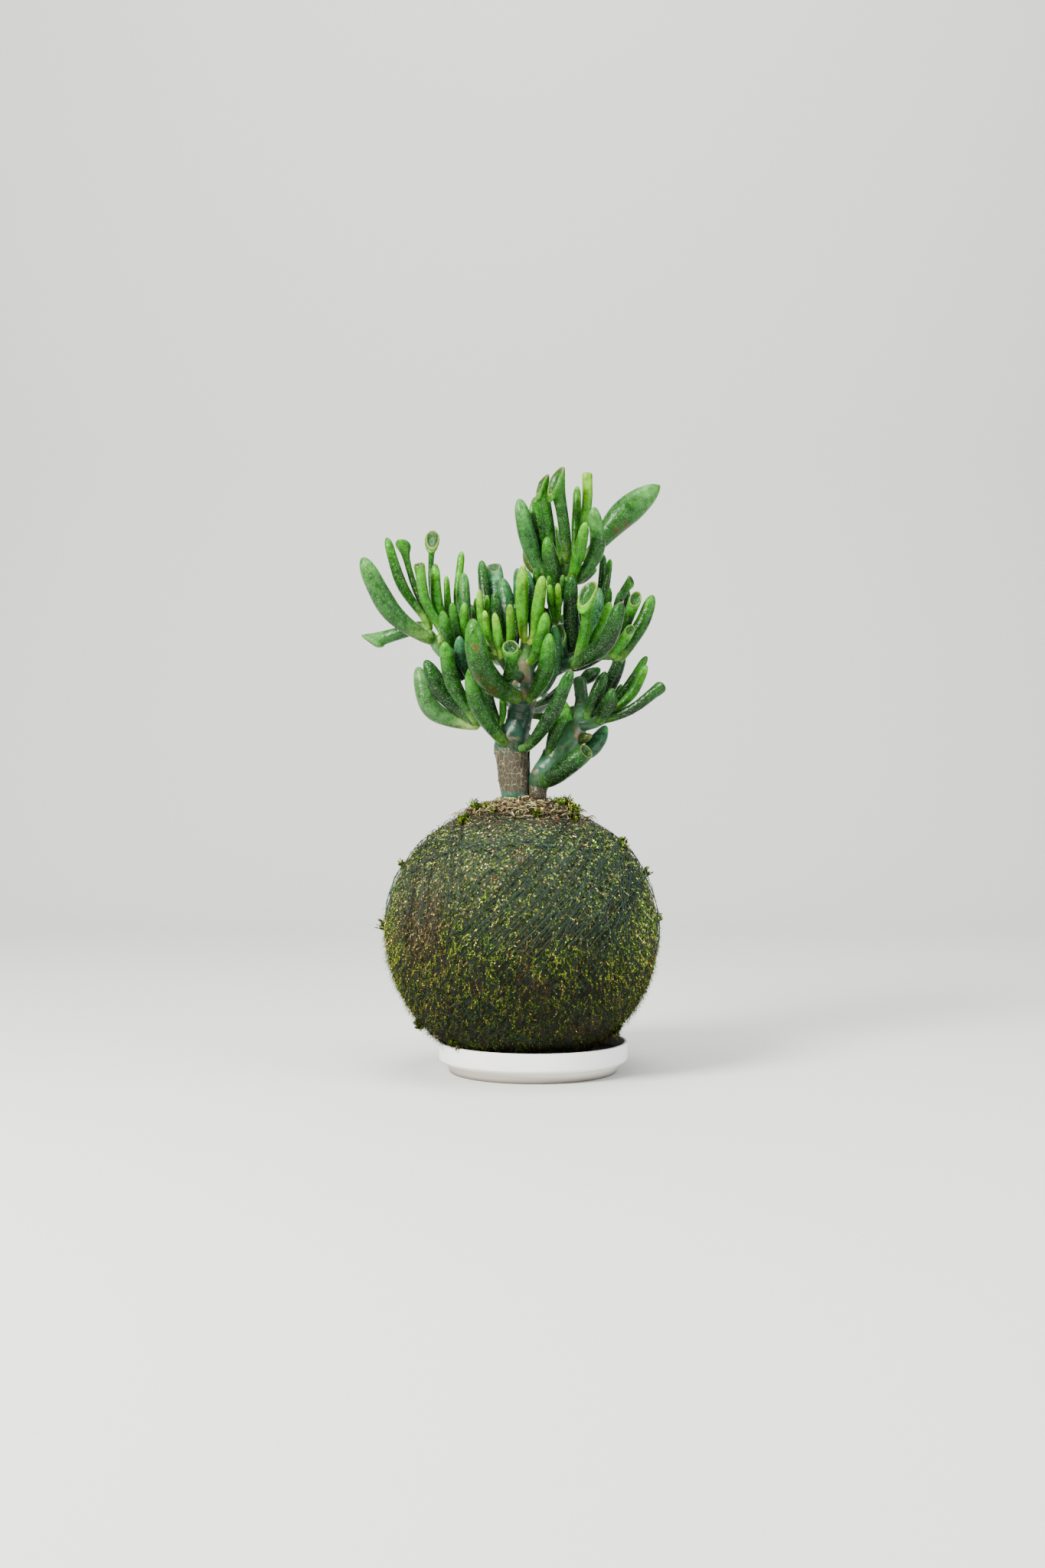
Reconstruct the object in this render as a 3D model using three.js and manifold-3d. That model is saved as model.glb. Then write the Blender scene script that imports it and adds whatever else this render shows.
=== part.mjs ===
// Moss ball plant: a finger-leaved jade plant in a ball of soil wrapped in moss and bound with thread,
// standing in a small stepped saucer. Millimetres, +Z up. The origin is the middle of the saucer's
// underside, and the front of the plant looks along -Y.
import * as THREE from 'three';
import { mergeVertices } from 'three/addons/utils/BufferGeometryUtils.js';
import Module from 'manifold-3d';

const wasm = await Module();
wasm.setup();

// Clearance between neighbouring pieces
const SEAT_GAP = 0.3;
// Slivers and corners closer than this, left where pieces join, are merged
const JOIN_TOLERANCE = 0.03;

// Saucer: a narrow foot under a wider upright band
const SAUCER_RIM_RADIUS = 49.3;
const SAUCER_HEIGHT = 15.8;
const SAUCER_WALL = 1.7;
const SAUCER_FOOT_RADIUS = 42.4;
const SAUCER_STEP_HEIGHT = 6.6;
const SAUCER_FLOOR = 3.5;
const SAUCER_SIDES = 36;

// Ball: an upright ellipsoid, a little flattened where it rests
const BALL_CENTRE = new THREE.Vector3(-6, 0, 73.3);
const BALL_RADIUS = 71;
const BALL_TOP = 66.2;
const BALL_BOTTOM = 70.5;
const MOSS_THICKNESS = 6;
const MOUTH_RADIUS = 20;
const MOUTH_LUMP = 1.2;
const BALL_LUMP = 0.7;

// Thread: thicker and in fewer turns than in life
const THREAD_RADIUS = 0.55;
const THREAD_STEPS = 32;
// Each turn: how far it leans from level and the side it leans towards, in degrees, and its offset
// from the ball's middle as a share of the radius
const THREAD_TURNS = [
  [52, 150, 0.05], [47, 180, -0.1], [57, 212, 0.12], [50, 300, -0.06], [58, 35, 0.1], [44, 90, 0],
];
const BALL_REST = SAUCER_FLOOR + SEAT_GAP;

// Leaves: thickness at the root as a share of the fullest thickness, and where that lies
const LEAF_NECK = 0.66;
const LEAF_FULLEST = 0.6;
const LEAF_SIDES = 6;
const SLIM_LEAF_SIDES = 5;
const SLIM_LEAF_RADIUS = 2.7;
const FACET_FILL = 1.06;
const STEM_SIDES = 8;
const GOLDEN_ANGLE = 2.39996;

// Stem and leaf points were read from a picture of the plant: its pixels become millimetres here.
const PICTURE = { scale: 0.4, axisX: 696.5, groundY: 1398.2 };
const EYE = new THREE.Vector3(-5.6, -932, 149.7);

const FRONT = [0, -1, 0];
const LEFT = [-1, -0.35, 0];
const LEFT_FRONT = [-0.7, -0.7, 0];
const RIGHT_FRONT = [0.7, -0.7, 0];

// A stem is a list of picture point, depth behind the axis in mm and radius in picture pixels.
// A leaf has the picture points of its base, middle and tip, its width in pixels and its tip's depth.
// A leaf with a cup, trumpet or spoon end also has the head's width, its tilt and the side it faces.
const SHOOTS = {
  main_stem: {
    colour: '#a39a78',
    sides: 10,
    stems: [[
      [674, 1105, 0, 15], [674, 1052, 0, 18], [671, 1010, 0, 20.5], [668, 975, 0, 22],
      [678, 940, -1, 16], [682, 915, -2, 18], [684, 893, -3, 14],
    ]],
    leaves: [
      { base: [668, 908], mid: [628, 872], tip: [617, 808], width: 28, depth: -44, middle: 0.8 },
      { base: [658, 968], mid: [624, 920], tip: [614, 872], width: 22, depth: -26 },
      { base: [686, 977], mid: [724, 926], tip: [747, 876], width: 21, depth: -34, middle: 0.7 },
      { base: [690, 958], mid: [690, 985], tip: [691, 1007], width: 4, depth: 10 },
      { base: [693, 912], mid: [713, 872], tip: [718, 827], width: 20, depth: -27, middle: 0.8 },
      { base: [706, 906], mid: [728, 860], tip: [724, 816], width: 13, depth: -17 },
    ],
  },
  shoot_leader: {
    colour: '#5f9a34',
    stems: [[[684, 900, -3, 12.5], [687, 862, -4, 11], [688, 838, -5, 8]]],
    leaves: [
      { base: [669, 850], mid: [667, 820], tip: [666, 789], width: 11, depth: -22 },
      { base: [676, 850], mid: [675, 820], tip: [673, 788], width: 10, depth: -6 },
      { base: [685, 836], mid: [682, 785], tip: [683, 738], width: 16, depth: -15 },
      { base: [684, 830], mid: [678, 775], tip: [676, 742], width: 14, depth: 6 },
      { base: [693, 835], mid: [694, 775], tip: [688, 745], width: 13, depth: -3 },
      { base: [695, 838], mid: [703, 790], tip: [709, 752], width: 16, depth: -20 },
      { base: [694, 864], mid: [708, 832], tip: [713, 800], width: 16, depth: -27 },
      { base: [699, 835], mid: [695, 800], tip: [693, 777], width: 10, depth: 8 },
    ],
  },
  shoot_left: {
    colour: '#6aa53a',
    stems: [[[678, 908, 2, 12], [640, 893, 6, 10], [605, 872, 4, 9], [575, 848, 2, 8], [560, 828, 2, 7]]],
    leaves: [
      { base: [560, 834], mid: [512, 799], tip: [473, 728], width: 23, depth: -9 },
      { base: [555, 818], mid: [525, 826], tip: [482, 838], width: 14, depth: 14, head: 20, tilt: 0.9,
        face: [0, -0.3, -1] },
      { base: [558, 815], mid: [524, 762], tip: [505, 704], width: 12, depth: 4 },
      { base: [562, 815], mid: [541, 765], tip: [527, 708], width: 9, depth: 13, head: 17, tilt: 0.8,
        face: [1, 0.3, 0] },
      { base: [580, 834], mid: [556, 785], tip: [547, 737], width: 13, depth: -11, head: 15, tilt: 0.2 },
      { base: [576, 828], mid: [563, 765], tip: [565, 703], width: 9, depth: 8, head: 17, tilt: 0.9,
        face: FRONT },
      { base: [580, 830], mid: [571, 785], tip: [568, 736], width: 14, depth: -2 },
      { base: [590, 832], mid: [585, 790], tip: [583, 752], width: 9, depth: 11 },
      { base: [594, 850], mid: [583, 825], tip: [578, 798], width: 15, depth: -18 },
      { base: [602, 848], mid: [595, 815], tip: [590, 787], width: 12, depth: -8 },
      { base: [600, 835], mid: [598, 775], tip: [603, 720], width: 11, depth: 18 },
      { base: [609, 838], mid: [607, 790], tip: [606, 748], width: 15, depth: 6 },
      { base: [611, 840], mid: [607, 812], tip: [607, 787], width: 13, depth: -10 },
      { base: [616, 885], mid: [602, 858], tip: [600, 831], width: 16, depth: -16 },
      { base: [604, 885], mid: [593, 868], tip: [589, 846], width: 12, depth: -8 },
    ],
  },
  shoot_low_left: {
    colour: '#4d8a3c',
    stems: [[[670, 955, 0, 6.5], [648, 948, 0, 6], [624, 942, 0, 6]]],
    leaves: [
      { base: [623, 942], mid: [592, 892], tip: [580, 838], width: 20, depth: -18 },
      { base: [622, 942], mid: [583, 910], tip: [556, 863], width: 17, depth: -5 },
      { base: [622, 944], mid: [568, 928], tip: [544, 870], width: 16, depth: 6 },
      { base: [650, 944], mid: [640, 918], tip: [632, 885], width: 13, depth: -3 },
      { base: [655, 946], mid: [657, 928], tip: [656, 905], width: 9, depth: -9 },
    ],
  },
  shoot_front_left: {
    colour: '#6faa3c',
    stems: [[[682, 886, -4, 7], [664, 873, -20, 6], [650, 857, -30, 5]]],
    leaves: [
      { base: [648, 858], mid: [637, 828], tip: [633, 797], width: 9, depth: -33 },
      { base: [653, 858], mid: [650, 830], tip: [646, 800], width: 11, depth: -38 },
      { base: [664, 884], mid: [667, 866], tip: [667, 845], width: 17, depth: -38, head: 23, tilt: 0.35,
        face: FRONT, root: [666, 874] },
    ],
  },
  shoot_centre_left: {
    colour: '#4f8f3c',
    stems: [[[682, 884, -2, 8], [664, 862, -6, 7], [648, 842, -6, 6]]],
    leaves: [
      { base: [640, 835], mid: [633, 775], tip: [629, 732], width: 14, depth: 12 },
      { base: [652, 838], mid: [650, 780], tip: [645, 738], width: 21, depth: 18, tilt: 0.9, head: 19,
        face: FRONT },
      { base: [664, 835], mid: [662, 790], tip: [656, 755], width: 20, depth: 4 },
      { base: [636, 838], mid: [628, 800], tip: [626, 770], width: 10, depth: -14 },
      { base: [642, 840], mid: [637, 808], tip: [636, 777], width: 8, depth: -8 },
      { base: [656, 845], mid: [650, 805], tip: [646, 773], width: 15, depth: -15 },
    ],
  },
  shoot_top: {
    colour: '#4a8c38',
    stems: [[
      [690, 872, 2, 9], [706, 845, 9, 9], [716, 820, 9, 9], [728, 780, 5, 9], [737, 740, 2, 8],
      [741, 724, 2, 6],
    ]],
    leaves: [
      { base: [722, 800], mid: [718, 775], tip: [717, 752], width: 7, depth: -14 },
      { base: [724, 810], mid: [719, 785], tip: [718, 764], width: 9, depth: -20 },
      { base: [727, 812], mid: [729, 785], tip: [729, 762], width: 9, depth: -20 },
      { base: [709, 747], mid: [689, 700], tip: [678, 651], width: 21, depth: -2 },
      { base: [706, 740], mid: [698, 690], tip: [696, 655], width: 12, depth: 9 },
      { base: [718, 740], mid: [706, 690], tip: [700, 650], width: 13, depth: 5, head: 15, tilt: 0.7,
        face: LEFT_FRONT },
      { base: [727, 735], mid: [717, 680], tip: [708, 626], width: 14, depth: -5, head: 20, tilt: 0.8,
        face: LEFT },
      { base: [741, 730], mid: [735, 680], tip: [725, 618], width: 17, depth: -13, head: 25, tilt: 1,
        face: LEFT_FRONT },
      { base: [748, 730], mid: [753, 680], tip: [754, 635], width: 11, depth: 12 },
      { base: [750, 730], mid: [766, 665], tip: [767, 618], width: 13, depth: 3, head: 14, tilt: 0 },
      { base: [752, 758], mid: [779, 718], tip: [776, 662], width: 19, depth: -14 },
      { base: [744, 758], mid: [757, 718], tip: [765, 682], width: 15, depth: -22 },
      { base: [729, 782], mid: [720, 738], tip: [714, 701], width: 20, depth: -9 },
      { base: [762, 728], mid: [815, 668], tip: [862, 634], width: 27, depth: 7, point: true },
      { base: [712, 752], mid: [692, 733], tip: [692, 700], width: 15, depth: 17 },
      { base: [707, 795], mid: [703, 765], tip: [701, 735], width: 13, depth: 0 },
      { base: [744, 848], mid: [745, 795], tip: [747, 750], width: 20, depth: -10, root: [722, 842] },
      { base: [736, 780], mid: [735, 765], tip: [735, 751], width: 8, depth: -10 },
      { base: [737, 862], mid: [734, 845], tip: [731, 828], width: 15, depth: -3, head: 17, tilt: 1.4,
        face: FRONT },
    ],
  },
  shoot_right: {
    colour: '#2f6f2f',
    stems: [[
      [694, 890, 0, 9], [728, 874, 0, 8], [752, 864, -9, 8], [777, 856, -6, 7], [803, 856, -2, 6],
    ]],
    leaves: [
      { base: [751, 868], mid: [792, 838], tip: [812, 788], width: 26, depth: -40, middle: 0.75 },
      { base: [755, 862], mid: [766, 815], tip: [766, 768], width: 18, depth: -28, head: 26, tilt: 1.1,
        face: LEFT_FRONT },
      { base: [772, 856], mid: [781, 806], tip: [783, 768], width: 13, depth: -9 },
      { base: [762, 860], mid: [785, 820], tip: [797, 786], width: 14, depth: -20 },
      { base: [806, 862], mid: [838, 815], tip: [853, 777], width: 18, depth: 2 },
      { base: [797, 858], mid: [812, 840], tip: [823, 823], width: 14, depth: -9, head: 14, tilt: 1,
        face: FRONT },
    ],
  },
  shoot_far_right: {
    colour: '#3c7d35',
    stems: [[[718, 822, 10, 8], [745, 820, 20, 7], [775, 816, 20, 7], [798, 812, 12, 6]]],
    leaves: [
      { base: [808, 832], mid: [822, 803], tip: [830, 782], width: 15, depth: -3, head: 17, tilt: 1,
        face: FRONT },
      { base: [803, 800], mid: [813, 775], tip: [825, 758], width: 11, depth: 14, head: 14, tilt: 0.8,
        face: RIGHT_FRONT },
      { base: [804, 800], mid: [808, 786], tip: [810, 772], width: 10, depth: 2 },
      { base: [809, 808], mid: [818, 788], tip: [820, 768], width: 8, depth: 22 },
      { base: [790, 800], mid: [794, 782], tip: [796, 767], width: 10, depth: 7 },
      { base: [788, 800], mid: [792, 765], tip: [797, 730], width: 9, depth: 17 },
      { base: [780, 800], mid: [786, 765], tip: [788, 724], width: 10, depth: 25 },
    ],
  },
  branch_lower_right: {
    colour: '#4f8a63',
    stems: [
      [
        [700, 1098, 3, 7], [702, 1048, 2, 8], [706, 1022, 0, 13], [725, 990, -3, 17],
        [745, 962, -4, 16], [757, 942, -3, 12], [760, 915, 2, 9], [757, 888, 5, 8.5],
      ],
      [[752, 948, -4, 10], [770, 945, -7, 8], [790, 938, -6, 7]],
    ],
    leaves: [
      { base: [712, 1020], mid: [738, 1004], tip: [766, 981], width: 25, depth: -20, head: 23, tilt: 0.3,
        face: FRONT, middle: 0.75 },
      { base: [765, 982], mid: [780, 968], tip: [792, 948], width: 20, depth: 9 },
      { base: [757, 966], mid: [765, 963], tip: [773, 960], width: 12, depth: -12 },
      { base: [718, 988], mid: [723, 962], tip: [742, 925], width: 16, depth: -14 },
      { base: [787, 941], mid: [827, 925], tip: [864, 897], width: 14, depth: -16, head: 17, tilt: 0.7,
        face: [0.8, 0, 0.6] },
      { base: [793, 936], mid: [824, 908], tip: [845, 869], width: 12, depth: -7 },
      { base: [794, 930], mid: [823, 892], tip: [845, 857], width: 11, depth: 4 },
      { base: [790, 930], mid: [803, 911], tip: [812, 894], width: 8, depth: 11 },
      { base: [783, 941], mid: [795, 920], tip: [800, 899], width: 19, depth: -18 },
      { base: [768, 938], mid: [780, 905], tip: [791, 877], width: 17, depth: -9 },
      { base: [776, 935], mid: [803, 880], tip: [814, 848], width: 18, depth: 14, middle: 0.8 },
      { base: [747, 944], mid: [741, 932], tip: [737, 915], width: 11, depth: -6 },
      { base: [757, 893], mid: [768, 884], tip: [784, 873], width: 17, depth: 12 },
    ],
  },
  shoot_back_left: {
    colour: '#3f7f37',
    stems: [[[684, 886, 4, 8], [662, 864, 18, 7], [640, 842, 25, 5]]],
    leaves: [],
    whorl: { count: 8, heading: 128, spread: 120, low: 5, high: 72, length: 40, width: 7.4 },
  },
  shoot_back_right: {
    colour: '#33702f',
    stems: [[[692, 888, 5, 8], [724, 868, 20, 7], [752, 846, 30, 5]]],
    leaves: [],
    whorl: { count: 8, heading: 52, spread: 110, low: 8, high: 74, length: 38, width: 7 },
  },
  shoot_back_low: {
    colour: '#2f6a2d',
    stems: [[[680, 945, 3, 7], [691, 930, 16, 6], [696, 914, 23, 5]]],
    leaves: [],
    whorl: { count: 6, heading: 88, spread: 150, low: 2, high: 48, length: 34, width: 7 },
  },
  shoot_back_top: {
    colour: '#44883a',
    stems: [[[732, 772, 8, 7], [736, 754, 20, 6], [738, 736, 25, 5]]],
    leaves: [],
    whorl: { count: 6, heading: 104, spread: 110, low: 10, high: 70, length: 34, width: 6.5 },
  },
};

// A point seen at a picture pixel, at a depth behind the axis plane.
function placed(pixelX, pixelY, depth) {
  const seen = new THREE.Vector3(
    (pixelX - PICTURE.axisX) * PICTURE.scale,
    0,
    (PICTURE.groundY - pixelY) * PICTURE.scale,
  );
  return seen.sub(EYE).multiplyScalar((depth - EYE.y) / -EYE.y).add(EYE);
}

function smooth(share) {
  const t = THREE.MathUtils.clamp(share, 0, 1);
  return t * t * (3 - 2 * t);
}

// Joins shared corners, drops flat slivers and turns the faces outward.
function toSolid(geometry) {
  const bare = geometry.clone();
  bare.deleteAttribute('normal');
  bare.deleteAttribute('uv');
  const merged = mergeVertices(bare, 1e-5);
  const place = merged.attributes.position.array;
  const index = [];
  let volume = 0;
  for (let i = 0; i < merged.index.count; i += 3) {
    const [a, b, c] = [0, 1, 2].map((corner) => merged.index.getX(i + corner));
    if (a === b || b === c || a === c) continue;
    index.push(a, b, c);
    const [p, q, r] = [a, b, c].map((n) => new THREE.Vector3().fromArray(place, 3 * n));
    volume += p.dot(q.cross(r));
  }
  const triVerts = volume < 0 ? index.reverse() : index;
  return new wasm.Manifold(new wasm.Mesh({
    numProp: 3,
    vertProperties: new Float32Array(place),
    triVerts: new Uint32Array(triVerts),
  }));
}

function toGeometry(solid) {
  const mesh = solid.getMesh();
  const geometry = new THREE.BufferGeometry();
  geometry.setAttribute('position', new THREE.BufferAttribute(mesh.vertProperties, 3));
  geometry.setIndex(new THREE.BufferAttribute(mesh.triVerts, 1));
  return geometry;
}

function joined(solids) {
  return solids.reduce((whole, piece) => whole.add(piece));
}

// The biggest of the bodies that a cut leaves; loose scraps are dropped.
function largestBody(solid) {
  const bodies = solid.decompose();
  return bodies.reduce((best, body) => (body.volume() > best.volume() ? body : best));
}

function turned(profile, sides) {
  return new THREE.LatheGeometry(profile.map(([radius, height]) => new THREE.Vector2(radius, height)), sides);
}

// A turned profile carried along a path. Each profile point is a radius and a share of the path.
// The head beyond three quarters leans so that its mouth looks to the facing side.
function carried(profile, path, facing, sides, tilt = 0) {
  const geometry = toMergedLathe(profile, sides);
  const place = geometry.attributes.position;
  for (let i = 0; i < place.count; i += 1) {
    const share = place.getY(i);
    const { point, along } = path(share);
    const out = facing.clone().addScaledVector(along, -facing.dot(along)).normalize();
    const across = out.clone().cross(along);
    const lean = -tilt * place.getX(i) * smooth((share - 0.75) / 0.2);
    point.addScaledVector(out, place.getX(i));
    point.addScaledVector(across, place.getZ(i));
    point.addScaledVector(along, lean);
    place.setXYZ(i, point.x, point.y, point.z);
  }
  return toSolid(geometry);
}

function toMergedLathe(profile, sides) {
  const geometry = turned(profile, sides);
  geometry.deleteAttribute('normal');
  geometry.deleteAttribute('uv');
  return mergeVertices(geometry, 1e-5);
}

// Position and direction at a share of a curve, running on straight past both ends.
function follow(curve, byLength) {
  const length = curve.getLength();
  return (share) => {
    const inside = THREE.MathUtils.clamp(share, 0, 1);
    const point = byLength ? curve.getPointAt(inside) : curve.getPoint(inside);
    const along = byLength ? curve.getTangentAt(inside) : curve.getTangent(inside);
    return { point: point.addScaledVector(along, (share - inside) * length), along };
  };
}

// The side vector that a curve's sections are set out from: away from the viewer's line where it can be.
function sideOf(curve, face) {
  if (face) return new THREE.Vector3(...face).normalize();
  const chord = curve.getPoint(1).sub(curve.getPoint(0)).normalize();
  return Math.abs(chord.y) > 0.85 ? new THREE.Vector3(0, 0, 1) : new THREE.Vector3(0, -1, 0);
}

function stemCurve(points) {
  return new THREE.CatmullRomCurve3(points.map(([x, y, depth]) => placed(x, y, depth)));
}

function stemSolid(points, sides, growth) {
  const curve = stemCurve(points);
  const length = curve.getLength();
  const last = points.length - 1;
  const radii = points.map((point) => point[3] * PICTURE.scale + growth);
  const rings = radii.map((radius, i) => [radius, i / last]);
  const tipRadius = radii[last];
  const profile = [[0, -growth / length], [radii[0], -growth / length], ...rings.slice(1)];
  profile.push([tipRadius * 0.7, 1 + (tipRadius * 0.4) / length], [0, 1 + (tipRadius * 0.6) / length]);
  return carried(profile, follow(curve, false), sideOf(curve), sides);
}

// Root of a leaf: the point of its shoot's stems that lies nearest to its base in the picture.
function rootOf(shoot, leaf) {
  const [x, y] = leaf.root ?? leaf.base;
  const seen = placed(x, y, 0);
  let best = { gap: Infinity };
  for (const points of shoot.stems) {
    const curve = stemCurve(points);
    for (let i = 0; i <= 60; i += 1) {
      const point = curve.getPoint(i / 60);
      const flat = point.clone().sub(EYE).multiplyScalar(-EYE.y / (point.y - EYE.y)).add(EYE);
      const gap = flat.distanceTo(seen);
      if (gap < best.gap) best = { gap, point };
    }
  }
  return best.point;
}

function leafCurve(shoot, leaf) {
  const root = rootOf(shoot, leaf);
  const reach = leaf.depth - root.y;
  const points = [
    root,
    placed(...leaf.base, root.y + 0.25 * reach),
    placed(...leaf.mid, root.y + (leaf.middle ?? 0.65) * reach),
    placed(...leaf.tip, leaf.depth),
  ];
  if (points[1].distanceTo(root) < 1.2) points.splice(1, 1);
  return new THREE.CatmullRomCurve3(points);
}

function swell(share) {
  return LEAF_NECK + (1 - LEAF_NECK) * smooth(share / LEAF_FULLEST);
}

function isSlim(radius) {
  return radius < SLIM_LEAF_RADIUS;
}

function roundProfile(radius, length) {
  const cap = Math.min((1.15 * radius) / length, 0.5);
  const near = 1 - cap;
  const rings = [[radius * swell(0.3), 0.3], [radius, Math.min(0.62, near - 0.05)]];
  return [
    [0, 0], [radius * LEAF_NECK, 0], ...(isSlim(radius) ? [[radius * 0.98, 0.45]] : rings),
    [radius * 0.95, near], [radius * 0.66, 1 - cap * 0.25], [0, 1],
  ];
}

function pointedProfile(radius) {
  return [
    [0, 0], [radius * 0.4, 0], [radius * 0.5, 0.18], [radius * 0.92, 0.42], [radius, 0.62], [radius * 0.62, 0.86],
    [radius * 0.22, 0.97], [0, 1],
  ];
}

function headProfile(radius, headRadius, length) {
  const dish = (0.5 * headRadius) / length;
  const flare = Math.min((1.3 * headRadius) / length, 0.3);
  return [
    [0, 0], [radius * LEAF_NECK, 0], [radius * swell(0.35), 0.35], [radius * 0.95, 1 - flare],
    [headRadius, 1 - dish * 0.3], [headRadius * 0.82, 1], [headRadius * 0.45, 1 - dish * 0.8], [0, 1 - dish],
  ];
}

function leafSolid(shoot, leaf, growth) {
  const curve = leafCurve(shoot, leaf);
  const size = PICTURE.scale * ((leaf.depth - EYE.y) / -EYE.y);
  const length = curve.getLength() + growth;
  const radius = (FACET_FILL * leaf.width * size) / 2 + growth;
  const profile = leaf.head
    ? headProfile(radius, (leaf.head * size) / 2 + growth, length)
    : roundProfile(radius, length);
  const sides = isSlim(radius) ? SLIM_LEAF_SIDES : LEAF_SIDES;
  return carried(leaf.point ? pointedProfile(radius) : profile, follow(curve, true), sideOf(curve, leaf.face),
    sides, leaf.tilt);
}

// Leaves of a shoot behind the crown: set round its stem a golden angle apart, low ones flatter and longer.
function whorlCurve(shoot, number) {
  const { count, heading, spread, low, high, length } = shoot.whorl;
  const stem = stemCurve(shoot.stems[0]);
  const height = (number + 0.5) / count;
  const root = stem.getPoint(0.3 + 0.67 * height);
  const swing = ((number * GOLDEN_ANGLE) / (2 * Math.PI)) % 1;
  const turn = THREE.MathUtils.degToRad(heading + spread * (swing - 0.5));
  const rise = THREE.MathUtils.degToRad(THREE.MathUtils.lerp(low, high, height));
  const reach = length * (1.05 - 0.35 * height) * (0.85 + 0.3 * ((number * 0.618) % 1));
  const outward = new THREE.Vector3(Math.cos(turn), Math.sin(turn), 0);
  const at = (share, lift) => root.clone()
    .addScaledVector(outward, share * reach * Math.cos(rise))
    .add(new THREE.Vector3(0, 0, share * reach * Math.sin(rise) + lift * reach));
  return new THREE.CatmullRomCurve3([root, at(0.5, -0.06), at(1, 0.06)]);
}

function whorlSolid(shoot, number, growth) {
  const curve = whorlCurve(shoot, number);
  const length = curve.getLength() + growth;
  const radius = (shoot.whorl.width / 2) * (0.8 + 0.3 * ((number * 0.382) % 1)) + growth;
  const cupped = number % 4 === 1;
  const profile = cupped
    ? headProfile(radius * 0.85, radius * 1.15, length)
    : roundProfile(radius, length);
  return carried(profile, follow(curve, true), sideOf(curve), SLIM_LEAF_SIDES, cupped ? 0.6 : 0);
}

function shootSolid(shoot, growth) {
  const pieces = shoot.stems.map((points) => stemSolid(points, shoot.sides ?? STEM_SIDES, growth));
  for (const leaf of shoot.leaves) pieces.push(leafSolid(shoot, leaf, growth));
  for (let i = 0; i < (shoot.whorl?.count ?? 0); i += 1) pieces.push(whorlSolid(shoot, i, growth));
  return joined(pieces);
}

// Surface of the moss at a direction from the ball's centre, pushed out or in by an offset.
function ballPoint(direction, offset) {
  const upright = direction.z > 0 ? BALL_TOP : BALL_BOTTOM;
  const lump = Math.sin(3 * direction.x + 2.1 * direction.y + 1) * Math.cos(2.7 * direction.z - 1.4 * direction.y)
    + 0.6 * Math.sin(6.3 * direction.y + 4.4 * direction.x) * Math.sin(5.1 * direction.z + 0.7);
  const level = BALL_LUMP * lump * Math.min(1, 2.2 * (1 + direction.z));
  const point = new THREE.Vector3(
    direction.x * (BALL_RADIUS + offset + level),
    direction.y * (BALL_RADIUS + offset + level),
    direction.z * (upright + offset + level),
  ).add(BALL_CENTRE);
  point.z = Math.max(point.z, BALL_REST - offset);
  return point;
}

function ballSolid(offset, around, upward) {
  const geometry = new THREE.SphereGeometry(1, around, upward);
  geometry.rotateX(Math.PI / 2);
  const place = geometry.attributes.position;
  for (let i = 0; i < place.count; i += 1) {
    const point = ballPoint(new THREE.Vector3().fromBufferAttribute(place, i), offset);
    place.setXYZ(i, point.x, point.y, point.z);
  }
  return toSolid(geometry);
}

function mouthCore(radius) {
  const core = new THREE.CylinderGeometry(radius, radius, 80, 20);
  core.rotateX(Math.PI / 2);
  core.translate(BALL_CENTRE.x, BALL_CENTRE.y, BALL_CENTRE.z + 80);
  return toSolid(core);
}

// A tuft: small upright moss sprigs sunk in the moss at a picture point.
function tuftSolid([pixelX, pixelY, depth], width, height, count) {
  const foot = placed(pixelX, pixelY, depth);
  const sprigs = [];
  for (let i = 0; i < count; i += 1) {
    const turn = i * GOLDEN_ANGLE;
    const out = width * 0.5 * Math.sqrt(i / count);
    const root = foot.clone().add(new THREE.Vector3(out * Math.cos(turn), out * Math.sin(turn), -4));
    const top = root.clone().add(new THREE.Vector3(
      out * 0.4 * Math.cos(turn),
      out * 0.4 * Math.sin(turn),
      4 + height * (0.7 + 0.3 * Math.cos(3 * turn)),
    ));
    const curve = new THREE.CatmullRomCurve3([root, root.clone().lerp(top, 0.6), top]);
    sprigs.push(carried([[0, 0], [1.6, 0], [1.5, 0.6], [0, 1]], follow(curve, true), sideOf(curve), 5));
  }
  return joined(sprigs);
}

function mossSolid() {
  const shell = ballSolid(0, 28, 16).subtract(ballSolid(-MOSS_THICKNESS, 14, 8));
  const open = shell.subtract(mouthCore(MOUTH_RADIUS));
  return joined([
    open,
    tuftSolid([737, 1064, -11], 6, 8, 5),
    tuftSolid([631, 1062, -15], 4, 6, 3),
  ]);
}

function soilSolid() {
  return ballSolid(-MOSS_THICKNESS - 1.2, 14, 8);
}

// Bark bits and fibre in the mouth of the ball: the ball's own top, thickened and strewn with chips.
function dressingSolid() {
  const cap = ballSolid(MOUTH_LUMP, 28, 16).intersect(mouthCore(MOUTH_RADIUS - 1.3 * SEAT_GAP));
  const layer = cap.subtract(ballSolid(-MOSS_THICKNESS, 14, 8));
  const chips = [];
  for (let i = 0; i < 7; i += 1) {
    const turn = i * GOLDEN_ANGLE;
    const out = MOUTH_RADIUS * (0.5 + 0.35 * ((i * 0.618) % 1));
    const chip = new THREE.BoxGeometry(7, 2.6, 1.8);
    chip.rotateX(0.25 * Math.sin(5 * turn));
    chip.rotateZ(2.3 * turn);
    chip.translate(
      BALL_CENTRE.x + out * Math.cos(turn),
      out * Math.sin(turn),
      BALL_CENTRE.z + (BALL_TOP + MOUTH_LUMP) * Math.sqrt(1 - (out / BALL_RADIUS) ** 2) + 0.3,
    );
    chips.push(toSolid(chip));
  }
  return joined([layer, ...chips]).intersect(mouthCore(MOUTH_RADIUS - 1.3 * SEAT_GAP));
}

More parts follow.
